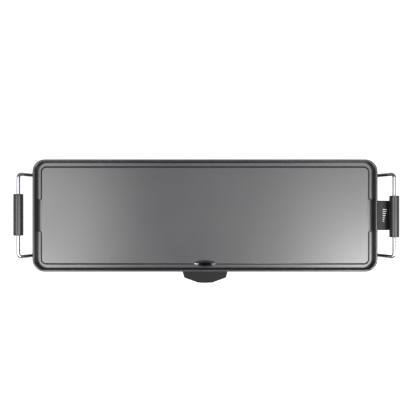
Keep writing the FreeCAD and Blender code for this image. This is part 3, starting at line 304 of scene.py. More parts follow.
# Aluminised sheet steel: dull silver with a faint spangle of 6 mm.
ALUMINISED_SHEET = Finish(
    "aluminised sheet steel", "pan_steel", "#a7a9ab", "#8f9295", 0.38,
    roughness_spread=0.08, metallic=1.0, grain=Grain.SHEET, grain_mm=6.0, cloud_mm=12.0,
)
# Zinc plate, clear passivated: silver with a slightly blue cast and a soft gloss.
ZINC_PLATE = Finish(
    "zinc plate with clear passivate", "zinc_steel", "#b9bdc4", "#a3a9b6", 0.3,
    metallic=1.0, grain=Grain.CAST, grain_mm=1.0, relief_mm=0.01, cloud_mm=5.0,
)
# Steel sheath after heating: brown to blue-grey oxide in bands a few centimetres long.
HEATED_SHEATH = Finish(
    "oxidised steel element sheath", "element_steel", "#5a4f47", "#50545e", 0.48,
    metallic=1.0, grain=Grain.CAST, cloud_mm=30.0,
)
# Unglazed steatite ceramic: cream white, chalky, with a pressed powder grain.
CERAMIC = Finish(
    "unglazed steatite ceramic", "ceramic", "#ddd8ca", "#cfc8b6", 0.72,
    grain=Grain.CAST, grain_mm=0.6, cloud_mm=8.0,
)
# Nickel plate on turned steel: warm silver with fine rings round the piece.
NICKEL = Finish(
    "nickel plate on turned steel", "pin_steel", "#bcb8ad", "#a9a599", 0.22,
    metallic=1.0, grain=Grain.DRAWN, grain_mm=0.5, relief_mm=0.01, cloud_mm=6.0, stretch=(4.0, 0.5, 0.5),
)
# Silicone rubber, press-moulded: matt charcoal that looks dusty at a slant.
RUBBER = Finish(
    "press-moulded silicone rubber", "rubber", "#232324", "#2c2c2d", 0.68,
    ior=1.43, grain=Grain.CAST, grain_mm=0.5, relief_mm=0.03, cloud_mm=10.0,
)
# Turned and punched brass: yellow, slightly browned where it has warmed.
BRASS = Finish(
    "turned brass", "brass", "#c2a15a", "#a8834a", 0.26,
    metallic=1.0, grain=Grain.DRAWN, grain_mm=0.6, relief_mm=0.01, cloud_mm=5.0, stretch=(4.0, 0.6, 0.6),
)
# Red polycarbonate, moulded clear: deep red and glossy, with light passing through it.
RED_LENS = Finish(
    "moulded red polycarbonate", "lens_red", "#b0150f", "#c41d14", 0.08,
    roughness_spread=0.02, ior=1.58, transmission=0.55, grain_mm=1.5, cloud_mm=4.0,
)
# Drawn lamp glass: clear with a faint warm tint.
LAMP_GLASS = Finish(
    "drawn lamp glass", "lamp_glass", "#f2dcc8", "#f7e8da", 0.04,
    roughness_spread=0.01, ior=1.47, transmission=0.95, grain_mm=2.0, relief_mm=0.01, cloud_mm=3.0,
)
# Silver contact rivet: bright and slightly pitted.
SILVER = Finish(
    "silver alloy contact", "silver_contact", "#dedcd6", "#c9c5bd", 0.2,
    metallic=1.0, grain=Grain.CAST, grain_mm=0.4, relief_mm=0.01, cloud_mm=2.0,
)
# White pad-printing ink: matt, a little uneven where it lies over the moulded grain.
WHITE_INK = Finish(
    "white pad-printing ink", "control_plastic", "#dcdcdc", "#c9cacb", 0.5,
    grain=Grain.SPRAYED, grain_mm=0.3, relief_mm=0.004, cloud_mm=3.0,
)


class Finishes:
    """Keeps one material for each finish."""

    def __init__(self) -> None:
        """Starts with none made."""
        self._made: dict[str, bpy.types.Material] = {}

    def __getitem__(self, finish: Finish) -> bpy.types.Material:
        """The material of a finish, made when it is first asked for.

        Args:
            finish: The finish.

        Returns:
            Its material.
        """
        if finish.name not in self._made:
            self._made[finish.name] = finish.build()
        return self._made[finish.name]


FINISHES = Finishes()


# ---- meshes


def linked(name: str, data: Any) -> bpy.types.Object:
    """Puts data in the scene as an object.

    Args:
        name: The object's name.
        data: Its mesh, light, camera or curve.

    Returns:
        The object.
    """
    holder = bpy.data.objects.new(name, data)
    bpy.context.scene.collection.objects.link(holder)
    return holder


def evaluated(worker: bpy.types.Object) -> bpy.types.Mesh:
    """Turns a worker with its modifiers into a plain mesh, and removes it.

    Args:
        worker: The object to evaluate.

    Returns:
        The mesh.
    """
    graph = bpy.context.evaluated_depsgraph_get()
    mesh = bpy.data.meshes.new_from_object(worker.evaluated_get(graph))
    bpy.data.objects.remove(worker)
    return mesh


def skin(shape: bmesh.types.BMesh, rings: Sequence[Sequence[Any]]) -> None:
    """Joins rings of equally many corners, each to the next.

    Args:
        shape: The mesh under construction.
        rings: The rings' corners.
    """
    for first, second in zip(rings, rings[1:]):
        for step, corner in enumerate(first):
            after = (step + 1) % len(first)
            shape.faces.new((corner, first[after], second[after], second[step]))


def add_piece(
    name: str, mesh: bpy.types.Mesh, body: Body, finish: Finish, replaces: Sequence[str] = ()
) -> bpy.types.Object:
    """Adds a finished mesh to the model.

    Args:
        name: The piece's name.
        mesh: Its mesh, in the row frame.
        body: The body that it rides on.
        finish: Its finish.
        replaces: The CAD nodes that it stands for.

    Returns:
        The piece.
    """
    mesh.name = name
    if not mesh.materials:
        mesh.materials.append(FINISHES[finish])
    piece = linked(name, mesh)
    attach(piece, body.value)
    if replaces:
        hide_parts(*replaces)
    LOG.info("piece %s: %d faces on %s", name, len(mesh.polygons), body.value)
    return piece


def dress(finish: Finish, *nodes: str) -> None:
    """Gives CAD nodes their finish.

    Args:
        finish: The finish.
        *nodes: The CAD nodes' names.
    """
    for node in nodes:
        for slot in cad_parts[node].material_slots:
            slot.material = FINISHES[finish]
        LOG.info("CAD node %s: %s", node, finish.name)


def refined(node: str, edge_mm: float = 0.0, sharp_degrees: float = SHARP_DEGREES) -> bpy.types.Mesh:
    """A cleaned copy of a CAD node's mesh, smooth over its curves and with soft edges.

    Args:
        node: The CAD node's name.
        edge_mm: Width that its sharp edges are rounded to, or 0 to leave them.
        sharp_degrees: Edges sharper than this stay edges.

    Returns:
        The new mesh.
    """
    cleaned = bmesh.new()
    cleaned.from_mesh(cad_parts[node].data)
    bmesh.ops.remove_doubles(cleaned, verts=cleaned.verts, dist=1e-6)
    bmesh.ops.dissolve_limit(
        cleaned, angle_limit=math.radians(FLAT_DEGREES), verts=cleaned.verts, edges=cleaned.edges, delimit=set()
    )
    mesh = bpy.data.meshes.new(node + "_refined")
    cleaned.to_mesh(mesh)
    cleaned.free()
    if "custom_normal" in mesh.attributes:
        mesh.attributes.remove(mesh.attributes["custom_normal"])
    mesh.materials.clear()
    worker = linked(node + "_worker", mesh)
    if edge_mm > 0:
        rounding = worker.modifiers.new("rounding", "BEVEL")
        rounding.width = edge_mm * MM
        rounding.segments = 2
        rounding.limit_method = "ANGLE"
        rounding.angle_limit = math.radians(ROUNDED_DEGREES)
        rounding.use_clamp_overlap = True
        rounding.harden_normals = False
    return smooth_mesh(worker, sharp_degrees)


def closed_mesh(shape: bmesh.types.BMesh, sharp_degrees: float = SHARP_DEGREES) -> bpy.types.Mesh:
    """Frees a mesh under construction and smooths it between its sharp edges.

    Args:
        shape: The mesh under construction.
        sharp_degrees: Edges sharper than this stay edges.

    Returns:
        The finished mesh.
    """
    mesh = bpy.data.meshes.new("closed")
    shape.to_mesh(mesh)
    shape.free()
    return smooth_mesh(linked("closed_worker", mesh), sharp_degrees)


def smooth_mesh(worker: bpy.types.Object, sharp_degrees: float) -> bpy.types.Mesh:
    """Applies an object's modifiers and smooths the result between its sharp edges.

    Args:
        worker: The object to evaluate, which is then removed.
        sharp_degrees: Edges sharper than this stay edges.

    Returns:
        The finished mesh.
    """
    mesh = evaluated(worker)
    mesh.shade_smooth()
    mesh.set_sharp_from_angle(angle=math.radians(sharp_degrees))
    weigher = linked("weigher", mesh)
    normals = weigher.modifiers.new("normals", "WEIGHTED_NORMAL")
    normals.keep_sharp = True
    return evaluated(weigher)


def turned(profile: Sequence[tuple[float, float]], centre: Vector, axis: Vector, sides: int = 64) -> bpy.types.Mesh:
    """Turns a closed profile round an axis, as on a lathe.

    Args:
        profile: Points of distance along the axis and radius, in millimetres, in order.
        centre: Where distance 0 lies, in metres.
        axis: The direction of the axis.
        sides: How many steps the turn has.

    Returns:
        A closed mesh with outward faces, smooth between its sharp edges.
    """
    lathe = bmesh.new()
    turn = axis.normalized().to_track_quat("Z", "Y")
    rings = []
    for distance, radius in profile:
        ring = []
        for step in range(sides):
            angle = math.tau * step / sides
            local = Vector((radius * math.cos(angle), radius * math.sin(angle), distance)) * MM
            ring.append(lathe.verts.new(centre + turn @ local))
        rings.append(ring)
    skin(lathe, rings + rings[:1])
    bmesh.ops.remove_doubles(lathe, verts=lathe.verts, dist=1e-7)
    bmesh.ops.recalc_face_normals(lathe, faces=lathe.faces)
    return closed_mesh(lathe)


# ---- Geometry Nodes


class NodeRecipe:
    """A Geometry Nodes tree with named inputs, run on a mesh of points or lines."""

    def __init__(self, name: str, inputs: Sequence[tuple[str, str]]) -> None:
        """Starts the tree.

        Args:
            name: The tree's name.
            inputs: Names and socket types of its inputs.
        """
        self.tree = bpy.data.node_groups.new(name, "GeometryNodeTree")
        self.sockets: dict[str, str] = {}
        face = self.tree.interface
        face.new_socket("Geometry", in_out="INPUT", socket_type="NodeSocketGeometry")
        for label, kind in (*inputs, ("Finish", "NodeSocketMaterial")):
            self.sockets[label] = face.new_socket(label, in_out="INPUT", socket_type=kind).identifier
        face.new_socket("Geometry", in_out="OUTPUT", socket_type="NodeSocketGeometry")
        self.source = add_node(self.tree, "NodeGroupInput")

    def node(self, kind: str, inputs: dict[Any, Any] | None = None, **settings: Any) -> Any:
        """Adds a node to this tree.

        Args:
            kind: The node's type name.
            inputs: Values or output sockets, by input name or number.
            **settings: Properties of the node.

        Returns:
            Its first output socket.
        """
        return add_node(self.tree, kind, inputs, **settings).outputs[0]

    def scaled(self, label: str, factor: float) -> Any:
        """An input of the recipe times a factor.

        Args:
            label: The input's name.
            factor: The factor.

        Returns:
            The output socket with the product.
        """
        return self.node("ShaderNodeMath", {0: self.source.outputs[label], 1: factor}, operation="MULTIPLY")

    def lifted(self, mesh: Any, height: Any) -> Any:
        """Moves a mesh along Z.

        Args:
            mesh: The output socket with the mesh.
            height: The output socket with the height.

        Returns:
            The output socket with the moved mesh.
        """
        shift = self.node("ShaderNodeCombineXYZ", {2: height})
        return self.node("GeometryNodeTransform", {"Geometry": mesh, "Translation": shift})

    def joined(self, meshes: Sequence[Any]) -> Any:
        """Several meshes as one.

        Args:
            meshes: The output sockets with the meshes.

        Returns:
            The output socket with the whole.
        """
        join = add_node(self.tree, "GeometryNodeJoinGeometry")
        for mesh in meshes:
            self.tree.links.new(mesh, join.inputs[0])
        return join.outputs[0]

    def finish(self, geometry: Any, smooth: bool = True) -> None:
        """Ends the tree: real instances, shading and material.

        Args:
            geometry: The socket with the result.
            smooth: Whether its faces are shaded smooth.
        """
        real = self.node("GeometryNodeRealizeInstances", {0: geometry})
        shaded = self.node("GeometryNodeSetShadeSmooth", {"Geometry": real, "Shade Smooth": smooth})
        material = self.source.outputs["Finish"]
        dressed = self.node("GeometryNodeSetMaterial", {"Geometry": shaded, "Material": material})
        add_node(self.tree, "NodeGroupOutput", {0: dressed})

    def run(self, base: bpy.types.Mesh, finish: Finish, values: dict[str, Any]) -> bpy.types.Mesh:
        """Runs the tree once.

        Args:
            base: The mesh of points or lines to run on.
            finish: The finish that Set Material applies.
            values: The inputs' values, by name.

        Returns:
            The result as a plain mesh.
        """
        worker = linked(self.tree.name + "_worker", base)
        modifier = worker.modifiers.new("recipe", "NODES")
        modifier.node_group = self.tree
        for label, value in {**values, "Finish": FINISHES[finish]}.items():
            modifier[self.sockets[label]] = value
        return evaluated(worker)


def points_mesh(places: Sequence[Vector], line: bool = False, bends_mm: Sequence[float] = ()) -> bpy.types.Mesh:
    """A mesh of bare points, or of one line through them.

    Args:
        places: The points, in metres.
        line: Whether they are joined in order.
        bends_mm: Bend radius at each point, kept as the attribute "bend".

    Returns:
        The mesh.
    """
    mesh = bpy.data.meshes.new("points")
    edges = [(i, i + 1) for i in range(len(places) - 1)] if line else []
    mesh.from_pydata([tuple(p) for p in places], edges, [])
    if bends_mm:
        bend = mesh.attributes.new("bend", "FLOAT", "POINT")
        bend.data.foreach_set("value", [b * MM for b in bends_mm])
    return mesh


def bent_rod_recipe() -> NodeRecipe:
    """The tree that bends a round bar along a line.

    Returns:
        The recipe, whose inputs are the rod's radius and its number of sides.
    """
    recipe = NodeRecipe("bent rod", [("Radius", "NodeSocketFloat"), ("Sides", "NodeSocketInt")])
    source = recipe.source.outputs
    line = recipe.node("GeometryNodeMeshToCurve", {"Mesh": source["Geometry"]})
    bend = recipe.node("GeometryNodeInputNamedAttribute", {"Name": "bend"}, data_type="FLOAT")
    rounded = recipe.node(
        "GeometryNodeFilletCurve", {"Curve": line, "Count": 14, "Radius": bend, "Limit Radius": True}, mode="POLY"
    )
    circle = recipe.node(
        "GeometryNodeCurvePrimitiveCircle", {"Radius": source["Radius"], "Resolution": source["Sides"]}
    )
    swept = recipe.node("GeometryNodeCurveToMesh", {"Curve": rounded, "Profile Curve": circle, "Fill Caps": True})
    recipe.finish(swept)
    return recipe


@dataclass(frozen=True)
class ScrewShape:
    """A pan-head screw's proportions, as parts of its head's, shank's or whole size."""

    crown_top: float = 0.68
    crown_height: float = 0.55
    rim_height: float = 0.45
    cross_length: float = 1.15
    cross_width: float = 0.24
    cross_lift: float = 1.05
    core_radius: float = 0.86
    helix_radius: float = 0.88
    ridge_radius: float = 0.12
    thread_start: float = 0.03
    thread_length: float = 0.94
    pitch_mm: float = 1.0


def screw_recipe(shape: ScrewShape) -> NodeRecipe:
    """The tree that puts a cross-recessed pan-head screw at every point.

    Args:
        shape: The screws' proportions.

    Returns:
        The recipe. A screw's shank starts at its point and runs along Direction.
    """
    floats = ("Head radius", "Head height", "Shank radius", "Length")
    recipe = NodeRecipe(
        "pan-head screws", [(name, "NodeSocketFloat") for name in floats] + [("Direction", "NodeSocketVector")]
    )
    source = recipe.source.outputs
    crown = recipe.node(
        "GeometryNodeMeshCone",
        {
            "Vertices": 24,
            "Radius Top": recipe.scaled("Head radius", shape.crown_top),
            "Radius Bottom": source["Head radius"],
            "Depth": recipe.scaled("Head height", shape.crown_height),
        },
    )
    rim_height = recipe.scaled("Head height", shape.rim_height)
    rim = recipe.node(
        "GeometryNodeMeshCylinder", {"Vertices": 24, "Radius": source["Head radius"], "Depth": rim_height}
    )
    arm_length = recipe.scaled("Head radius", shape.cross_length)
    arm_width = recipe.scaled("Head radius", shape.cross_width)
    arms = []
    for x, y in ((arm_length, arm_width), (arm_width, arm_length)):
        size = recipe.node("ShaderNodeCombineXYZ", {0: x, 1: y, 2: source["Head height"]})
        arms.append(recipe.node("GeometryNodeMeshCube", {"Size": size}))
    # the crown is turned over so that it narrows away from the shank
    crown = recipe.node("GeometryNodeTransform", {"Geometry": crown, "Rotation": (math.pi, 0.0, 0.0)})
    crown = recipe.lifted(crown, recipe.scaled("Head height", -shape.rim_height))
    rim = recipe.lifted(rim, recipe.scaled("Head height", -shape.rim_height / 2))
    cross = recipe.lifted(recipe.joined(arms), recipe.scaled("Head height", -shape.cross_lift))
    crown = recipe.node("GeometryNodeMeshBoolean", {"Mesh 1": crown, "Mesh 2": cross}, operation="DIFFERENCE")
    core_radius = recipe.scaled("Shank radius", shape.core_radius)
    shank = recipe.node(
        "GeometryNodeMeshCylinder", {"Vertices": 16, "Radius": core_radius, "Depth": source["Length"]}
    )
    shank = recipe.lifted(shank, recipe.scaled("Length", 0.5))
    helix_radius = recipe.scaled("Shank radius", shape.helix_radius)
    turns = recipe.node("ShaderNodeMath", {0: source["Length"], 1: shape.pitch_mm * MM}, operation="DIVIDE")
    helix = recipe.node(
        "GeometryNodeCurveSpiral",
        {
            "Resolution": 14,
            "Rotations": turns,
            "Start Radius": helix_radius,
            "End Radius": helix_radius,
            "Height": recipe.scaled("Length", shape.thread_length),
        },
    )
    ridge_radius = recipe.scaled("Shank radius", shape.ridge_radius)
    ridge = recipe.node("GeometryNodeCurvePrimitiveCircle", {"Resolution": 3, "Radius": ridge_radius})
    thread = recipe.node("GeometryNodeCurveToMesh", {"Curve": helix, "Profile Curve": ridge, "Fill Caps": True})
    thread = recipe.lifted(thread, recipe.scaled("Length", shape.thread_start))
    screw = recipe.joined((crown, rim, shank, thread))
    turn = recipe.node("FunctionNodeAlignRotationToVector", {"Vector": source["Direction"]}, axis="Z")
    cloud = recipe.node("GeometryNodeMeshToPoints", {"Mesh": source["Geometry"]})
    recipe.finish(
        recipe.node("GeometryNodeInstanceOnPoints", {"Points": cloud, "Instance": screw, "Rotation": turn}),
        smooth=False,
    )
    return recipe


def bar_recipe() -> NodeRecipe:
    """The tree that puts a small rounded bar at every point, such as a tread or a tick mark.

    Returns:
        The recipe. A bar's length grows by Growth from each point to the next.
    """
    vectors = ("Size", "Growth", "Turn", "Turn step")
    recipe = NodeRecipe("small bars", [(name, "NodeSocketVector") for name in vectors])
    source = recipe.source.outputs
    index = recipe.node("GeometryNodeInputIndex")
    steps = recipe.node("ShaderNodeCombineXYZ", {0: index, 1: index, 2: index})
    scale, angle = (
        recipe.node("ShaderNodeVectorMath", {0: steps, 1: source[grown], 2: source[first]}, operation="MULTIPLY_ADD")
        for grown, first in (("Growth", "Size"), ("Turn step", "Turn"))
    )
    cube = recipe.node("GeometryNodeMeshCube", {"Size": (1.0, 1.0, 1.0)})
    turn = recipe.node("FunctionNodeEulerToRotation", {0: angle})
    cloud = recipe.node("GeometryNodeMeshToPoints", {"Mesh": source["Geometry"]})
    recipe.finish(
        recipe.node(
            "GeometryNodeInstanceOnPoints", {"Points": cloud, "Instance": cube, "Rotation": turn, "Scale": scale}
        ),
        smooth=False,
    )
    return recipe


BENT_ROD = bent_rod_recipe()
SCREWS = screw_recipe(ScrewShape())
BARS = bar_recipe()


@dataclass(frozen=True)
class ScrewSize:
    """A pan-head screw's sizes in millimetres."""

    head_radius: float
    head_height: float
    shank_radius: float
    length: float


def add_screws(
    name: str, places: Sequence[Vector], size: ScrewSize, body: Body, direction: Point = (0.0, 0.0, 1.0)
) -> None:
    """Adds a set of equal screws in place of their CAD node.

    Args:
        name: The CAD node that they replace.
        places: Where each shank leaves its head.
        size: The screws' size.
        body: The body that they ride on.
        direction: The way their points face.
    """
    mesh = SCREWS.run(
        points_mesh(places),
        ZINC_PLATE,
        {
            "Head radius": size.head_radius * MM,
            "Head height": size.head_height * MM,
            "Shank radius": size.shank_radius * MM,
            "Length": size.length * MM,
            "Direction": direction,
        },
    )
    add_piece(name + "_looks", mesh, body, ZINC_PLATE, [name])


# ---- the griddle itself


@dataclass
class CookingPlate:
    """The casting: non-stick above, painted black on its rim and skirt, with painted shade in the same black on its
    steep walls, bare underneath.
    """

    under_height: float = 70.0
    skirt_inset: float = 3.9
    half_length: float = 350.0
    half_width: float = 114.0
    rim_inset: float = 6.8
    least_upward: float = 0.5
    sharp_degrees: float = 24.0

    def build(self) -> None:
        """Makes the plate: non-stick on top, black on the rim and skirt, black as painted shade on its steep walls,
        bare underneath.
        """
        mesh = refined("cooking_plate", sharp_degrees=self.sharp_degrees)
        finishes = (NON_STICK, CAST_ALUMINIUM, RIM_PAINT_AND_WALL_SHADE)
        for finish in finishes:
            mesh.materials.append(FINISHES[finish])
        wall_x = (self.half_length - self.rim_inset) * MM
        wall_y = (self.half_width - self.rim_inset) * MM
        reach_x = (self.half_length - self.skirt_inset) * MM
        reach_y = (self.half_width - self.skirt_inset) * MM
        middle = LAYOUT.at(0, 0, 0)
        for face in mesh.polygons:
            inside = abs(face.center.x - middle.x) < reach_x and abs(face.center.y - middle.y) < reach_y
            on_rim = abs(face.center.x - middle.x) > wall_x or abs(face.center.y - middle.y) > wall_y
            steep = face.normal.z < self.least_upward
            if inside and face.center.z < self.under_height * MM and steep:
                face.material_index = finishes.index(CAST_ALUMINIUM)
            # steep faces on the top, such as the rim's inner wall and the drain's sides, take the rim's black:
            # painted shade where those walls look dark
            elif on_rim or steep:
                face.material_index = finishes.index(RIM_PAINT_AND_WALL_SHADE)
        add_piece("plate_casting", mesh, Body.GRIDDLE, NON_STICK, ["cooking_plate"])


@dataclass
class Heater:
    """The heating element with its clips, terminals and guard."""

    height: float = 55.5
    radius: float = 3.5
    leg_y: float = 52.0
    turn_x: float = -290.0
    neck_x: float = 252.0
    bend_x: float = 292.0
    terminal_x: float = 315.0
    terminal_y: float = 14.0
    bends: tuple[float, ...] = (0.0, 16.0, 24.0, 49.0, 49.0, 24.0, 16.0, 0.0)
    clip_xs: tuple[float, ...] = (-200.0, -60.0, 80.0, 200.0)
    clip_sheet: float = 0.8
    clip_screw_offset: float = 7.4
    clip_screw: ScrewSize = ScrewSize(2.3, 1.6, 1.25, 7.0)
    guard_screw: ScrewSize = ScrewSize(2.3, 1.6, 1.25, 8.0)

    def element(self) -> None:
        """Bends the sheathed element in its long loop."""
        half = [
            (self.terminal_x, self.terminal_y),
            (self.bend_x, self.terminal_y),
            (self.neck_x, self.leg_y),
            (self.turn_x, self.leg_y),
        ]
        path = half + [(x, -y) for x, y in reversed(half)]
        places = [LAYOUT.at(x, y, self.height) for x, y in path]
        base = points_mesh(places, True, self.bends)
        mesh = BENT_ROD.run(base, HEATED_SHEATH, {"Radius": self.radius * MM, "Sides": 24})
        add_piece("element_sheath", mesh, Body.GRIDDLE, HEATED_SHEATH, ["heating_element"])

    def build(self) -> None:
        """Makes the element and its screws, and dresses the rest."""
        self.element()
        places = [
            LAYOUT.at(x, side * self.leg_y + offset, self.height - self.clip_sheet)
            for x in self.clip_xs
            for side in (-1, 1)
            for offset in (-self.clip_screw_offset, self.clip_screw_offset)
        ]
        add_screws("element_clip_screws", places, self.clip_screw, Body.GRIDDLE)
        low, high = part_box("guard_screws")
        radius = self.guard_screw.head_radius * MM
        seat_x = high.x - self.guard_screw.head_height * MM
        z = (low.z + high.z) / 2
        guard_places = [Vector((seat_x, y, z)) for y in (low.y + radius, high.y - radius)]
        add_screws("guard_screws", guard_places, self.guard_screw, Body.GRIDDLE, (-1.0, 0.0, 0.0))
        guard = refined("terminal_guard", edge_mm=0.25)
        add_piece("terminal_guard_shell", guard, Body.GRIDDLE, ZINC_PLATE, ["terminal_guard"])
        dress(CERAMIC, "element_end_seals")
        dress(NICKEL, "terminal_pins")
        dress(ZINC_PLATE, "element_clips")


@dataclass
class BasePan:
    """The pan under the element, with pressed beads."""

    low: float = 45.0
    screw_places: tuple[tuple[float, float], ...] = (
        (-150.0, -82.0), (150.0, -82.0), (-150.0, 82.0), (150.0, 82.0), (0.0, 82.0)
    )
    screw: ScrewSize = ScrewSize(3.4, 2.2, 1.75, 11.0)
    long_beads: tuple[Point, ...] = ((170.0, -52.0, 150.0), (112.0, 0.0, 70.0), (170.0, 52.0, 150.0))
    cross_bead_x: float = 252.0
    cross_bead_length: float = 110.0
    bead_width: float = 7.0
    bead_depth: float = 0.9
    bead_sides: int = 12
    bead_section: tuple[tuple[float, float], ...] = ((0.0, -0.2), (0.12, 0.45), (0.3, 0.85), (0.55, 1.0))
    bead_sharp_degrees: float = 60.0

    def bead(self, sheet: bmesh.types.BMesh, x: float, y: float, length: float, along_x: bool) -> None:
        """Adds one pressed bead, a shallow ridge with round ends, under the pan's floor.

        Args:
            sheet: The mesh to add to.
            x: Its middle along the plate, in millimetres.
            y: Its middle across the plate, in millimetres.
            length: Its length over the ends, in millimetres.
            along_x: Whether it runs along the plate.
        """
        straight = length / 2 - self.bead_width / 2
        outline = []
        for end in (1, -1):
            for step in range(self.bead_sides + 1):
                angle = -math.pi / 2 + math.pi * step / self.bead_sides
                outline.append((end * (straight + math.cos(angle) * 0.5 * self.bead_width), end * math.sin(angle)))
        rings = []
        for inset, depth in self.bead_section:
            ring = []
            for u, v in outline:
                sideways = v * self.bead_width / 2 * (1 - inset)
                beyond = math.copysign(max(0.0, abs(u) - straight) * (1 - inset) + min(abs(u), straight), u)
                px, py = (beyond, sideways) if along_x else (-sideways, beyond)
                ring.append(sheet.verts.new(LAYOUT.at(x + px, y + py, self.low - depth * self.bead_depth)))
            rings.append(ring)
        skin(sheet, rings)
        sheet.faces.new(rings[-1])
        sheet.faces.new(list(reversed(rings[0])))

    def build(self) -> None:
        """Makes the pan, its beads and its screws."""
        pan = refined("base_pan", edge_mm=0.4)
        add_piece("base_pan_shell", pan, Body.GRIDDLE, ALUMINISED_SHEET, ["base_pan"])
        sheet = bmesh.new()
        for side in (-1, 1):
            for x, y, length in self.long_beads:
                self.bead(sheet, side * x, y, length, True)
            self.bead(sheet, side * self.cross_bead_x, 0.0, self.cross_bead_length, False)
        bmesh.ops.recalc_face_normals(sheet, faces=sheet.faces)
        add_piece("pan_beads", closed_mesh(sheet, self.bead_sharp_degrees), Body.GRIDDLE, ALUMINISED_SHEET)
        places = [LAYOUT.at(x, y, self.low) for x, y in self.screw_places]
        add_screws("pan_screws", places, self.screw, Body.GRIDDLE)


@dataclass
class Legs:
    """Four moulded legs on treaded rubber pads."""

    leg_x: float = 292.0
    leg_y: float = 77.0
    screw_x: float = 300.0
    screw_y: float = 68.0
    screw_seat: float = 29.0
    screw: ScrewSize = ScrewSize(4.2, 2.6, 2.0, 28.0)
    pad_length: float = 35.0
    pad_width: float = 24.0
    pad_corner: float = 4.5
    pad_height: float = 4.0
    tread_height: float = 0.9
    tread_pitch: float = 3.2
    tread_width: float = 1.7
    tread_margin: float = 2.4
    tread_overlap: float = 0.1
    pad_edge: tuple[tuple[float, float], ...] = ((0.0, 0.9), (0.7, 0.15), (1.2, 0.0))
    corner_steps: int = 6
    stud_radius: float = 5.0
    stud_taper: float = 0.5
    stud_overlap: float = 1.0
    stud_top: float = 11.0

    def pad(self, cx: float, cy: float, side: int, depth: int) -> bpy.types.Mesh:
        """A pad's block and stud, above its treads.

        Args:
            cx: The pad's middle along the plate, in millimetres.
            cy: The pad's middle across the plate, in millimetres.
            side: -1 at the left or 1 at the right.
            depth: -1 at the front or 1 at the rear.

        Returns:
            The mesh.
        """
        block = bmesh.new()
        rings = []
        half_x = self.pad_length / 2 - self.pad_corner
        half_y = self.pad_width / 2 - self.pad_corner
        levels = [(self.tread_height + rise, inset) for rise, inset in self.pad_edge]
        for z, inset in (*levels, (self.pad_height, 0.0)):
            ring = []
            for quarter, (sx, sy) in enumerate(((1, 1), (-1, 1), (-1, -1), (1, -1))):
                for step in range(self.corner_steps + 1):
                    angle = math.pi / 2 * (quarter + step / self.corner_steps)
                    x = cx + sx * half_x + (self.pad_corner - inset) * math.cos(angle)
                    y = cy + sy * half_y + (self.pad_corner - inset) * math.sin(angle)
                    ring.append(block.verts.new(LAYOUT.at(x, y, z)))
            rings.append(ring)
        skin(block, rings)
        block.faces.new(list(reversed(rings[0])))
        block.faces.new(rings[-1])
        stud_root = self.pad_height - self.stud_overlap
        stud_z = (self.stud_top + stud_root) / 2
        stud_middle = LAYOUT.at(side * self.screw_x, depth * self.screw_y, stud_z)
        bmesh.ops.create_cone(
            block,
            cap_ends=True,
            segments=32,
            radius1=self.stud_radius * MM,
            radius2=(self.stud_radius - self.stud_taper) * MM,
            depth=(self.stud_top - stud_root) * MM,
            matrix=Matrix.Translation(stud_middle),
        )
        return closed_mesh(block)

    def build(self) -> None:
        """Makes the legs, pads, treads and leg screws."""
        screw_places = []
        for side, side_name in ((-1, "left"), (1, "right")):
            for depth, depth_name in ((-1, "front"), (1, "rear")):
                corner = f"{depth_name}_{side_name}"
                cx, cy = side * self.leg_x, depth * self.leg_y
                screw_places.append(LAYOUT.at(side * self.screw_x, depth * self.screw_y, self.screw_seat))
                leg = refined(corner + "_leg", edge_mm=0.5)
                add_piece(corner + "_leg_moulding", leg, Body.GRIDDLE, PHENOLIC, [corner + "_leg"])
                pad = self.pad(cx, cy, side, depth)
                add_piece(corner + "_pad", pad, Body.GRIDDLE, RUBBER, [corner + "_foot_pad"])
                count = int((self.pad_length - 2 * self.pad_corner) / self.tread_pitch) + 1
                start = cx - (count - 1) * self.tread_pitch / 2
                tall = self.tread_height + self.tread_overlap
                places = [LAYOUT.at(start + index * self.tread_pitch, cy, tall / 2) for index in range(count)]
                size = Vector((self.tread_width, self.pad_width - self.tread_margin, tall)) * MM
                treads = BARS.run(points_mesh(places), RUBBER, {"Size": size})
                add_piece(corner + "_treads", treads, Body.GRIDDLE, RUBBER)
        add_screws("leg_screws", screw_places, self.screw, Body.GRIDDLE)


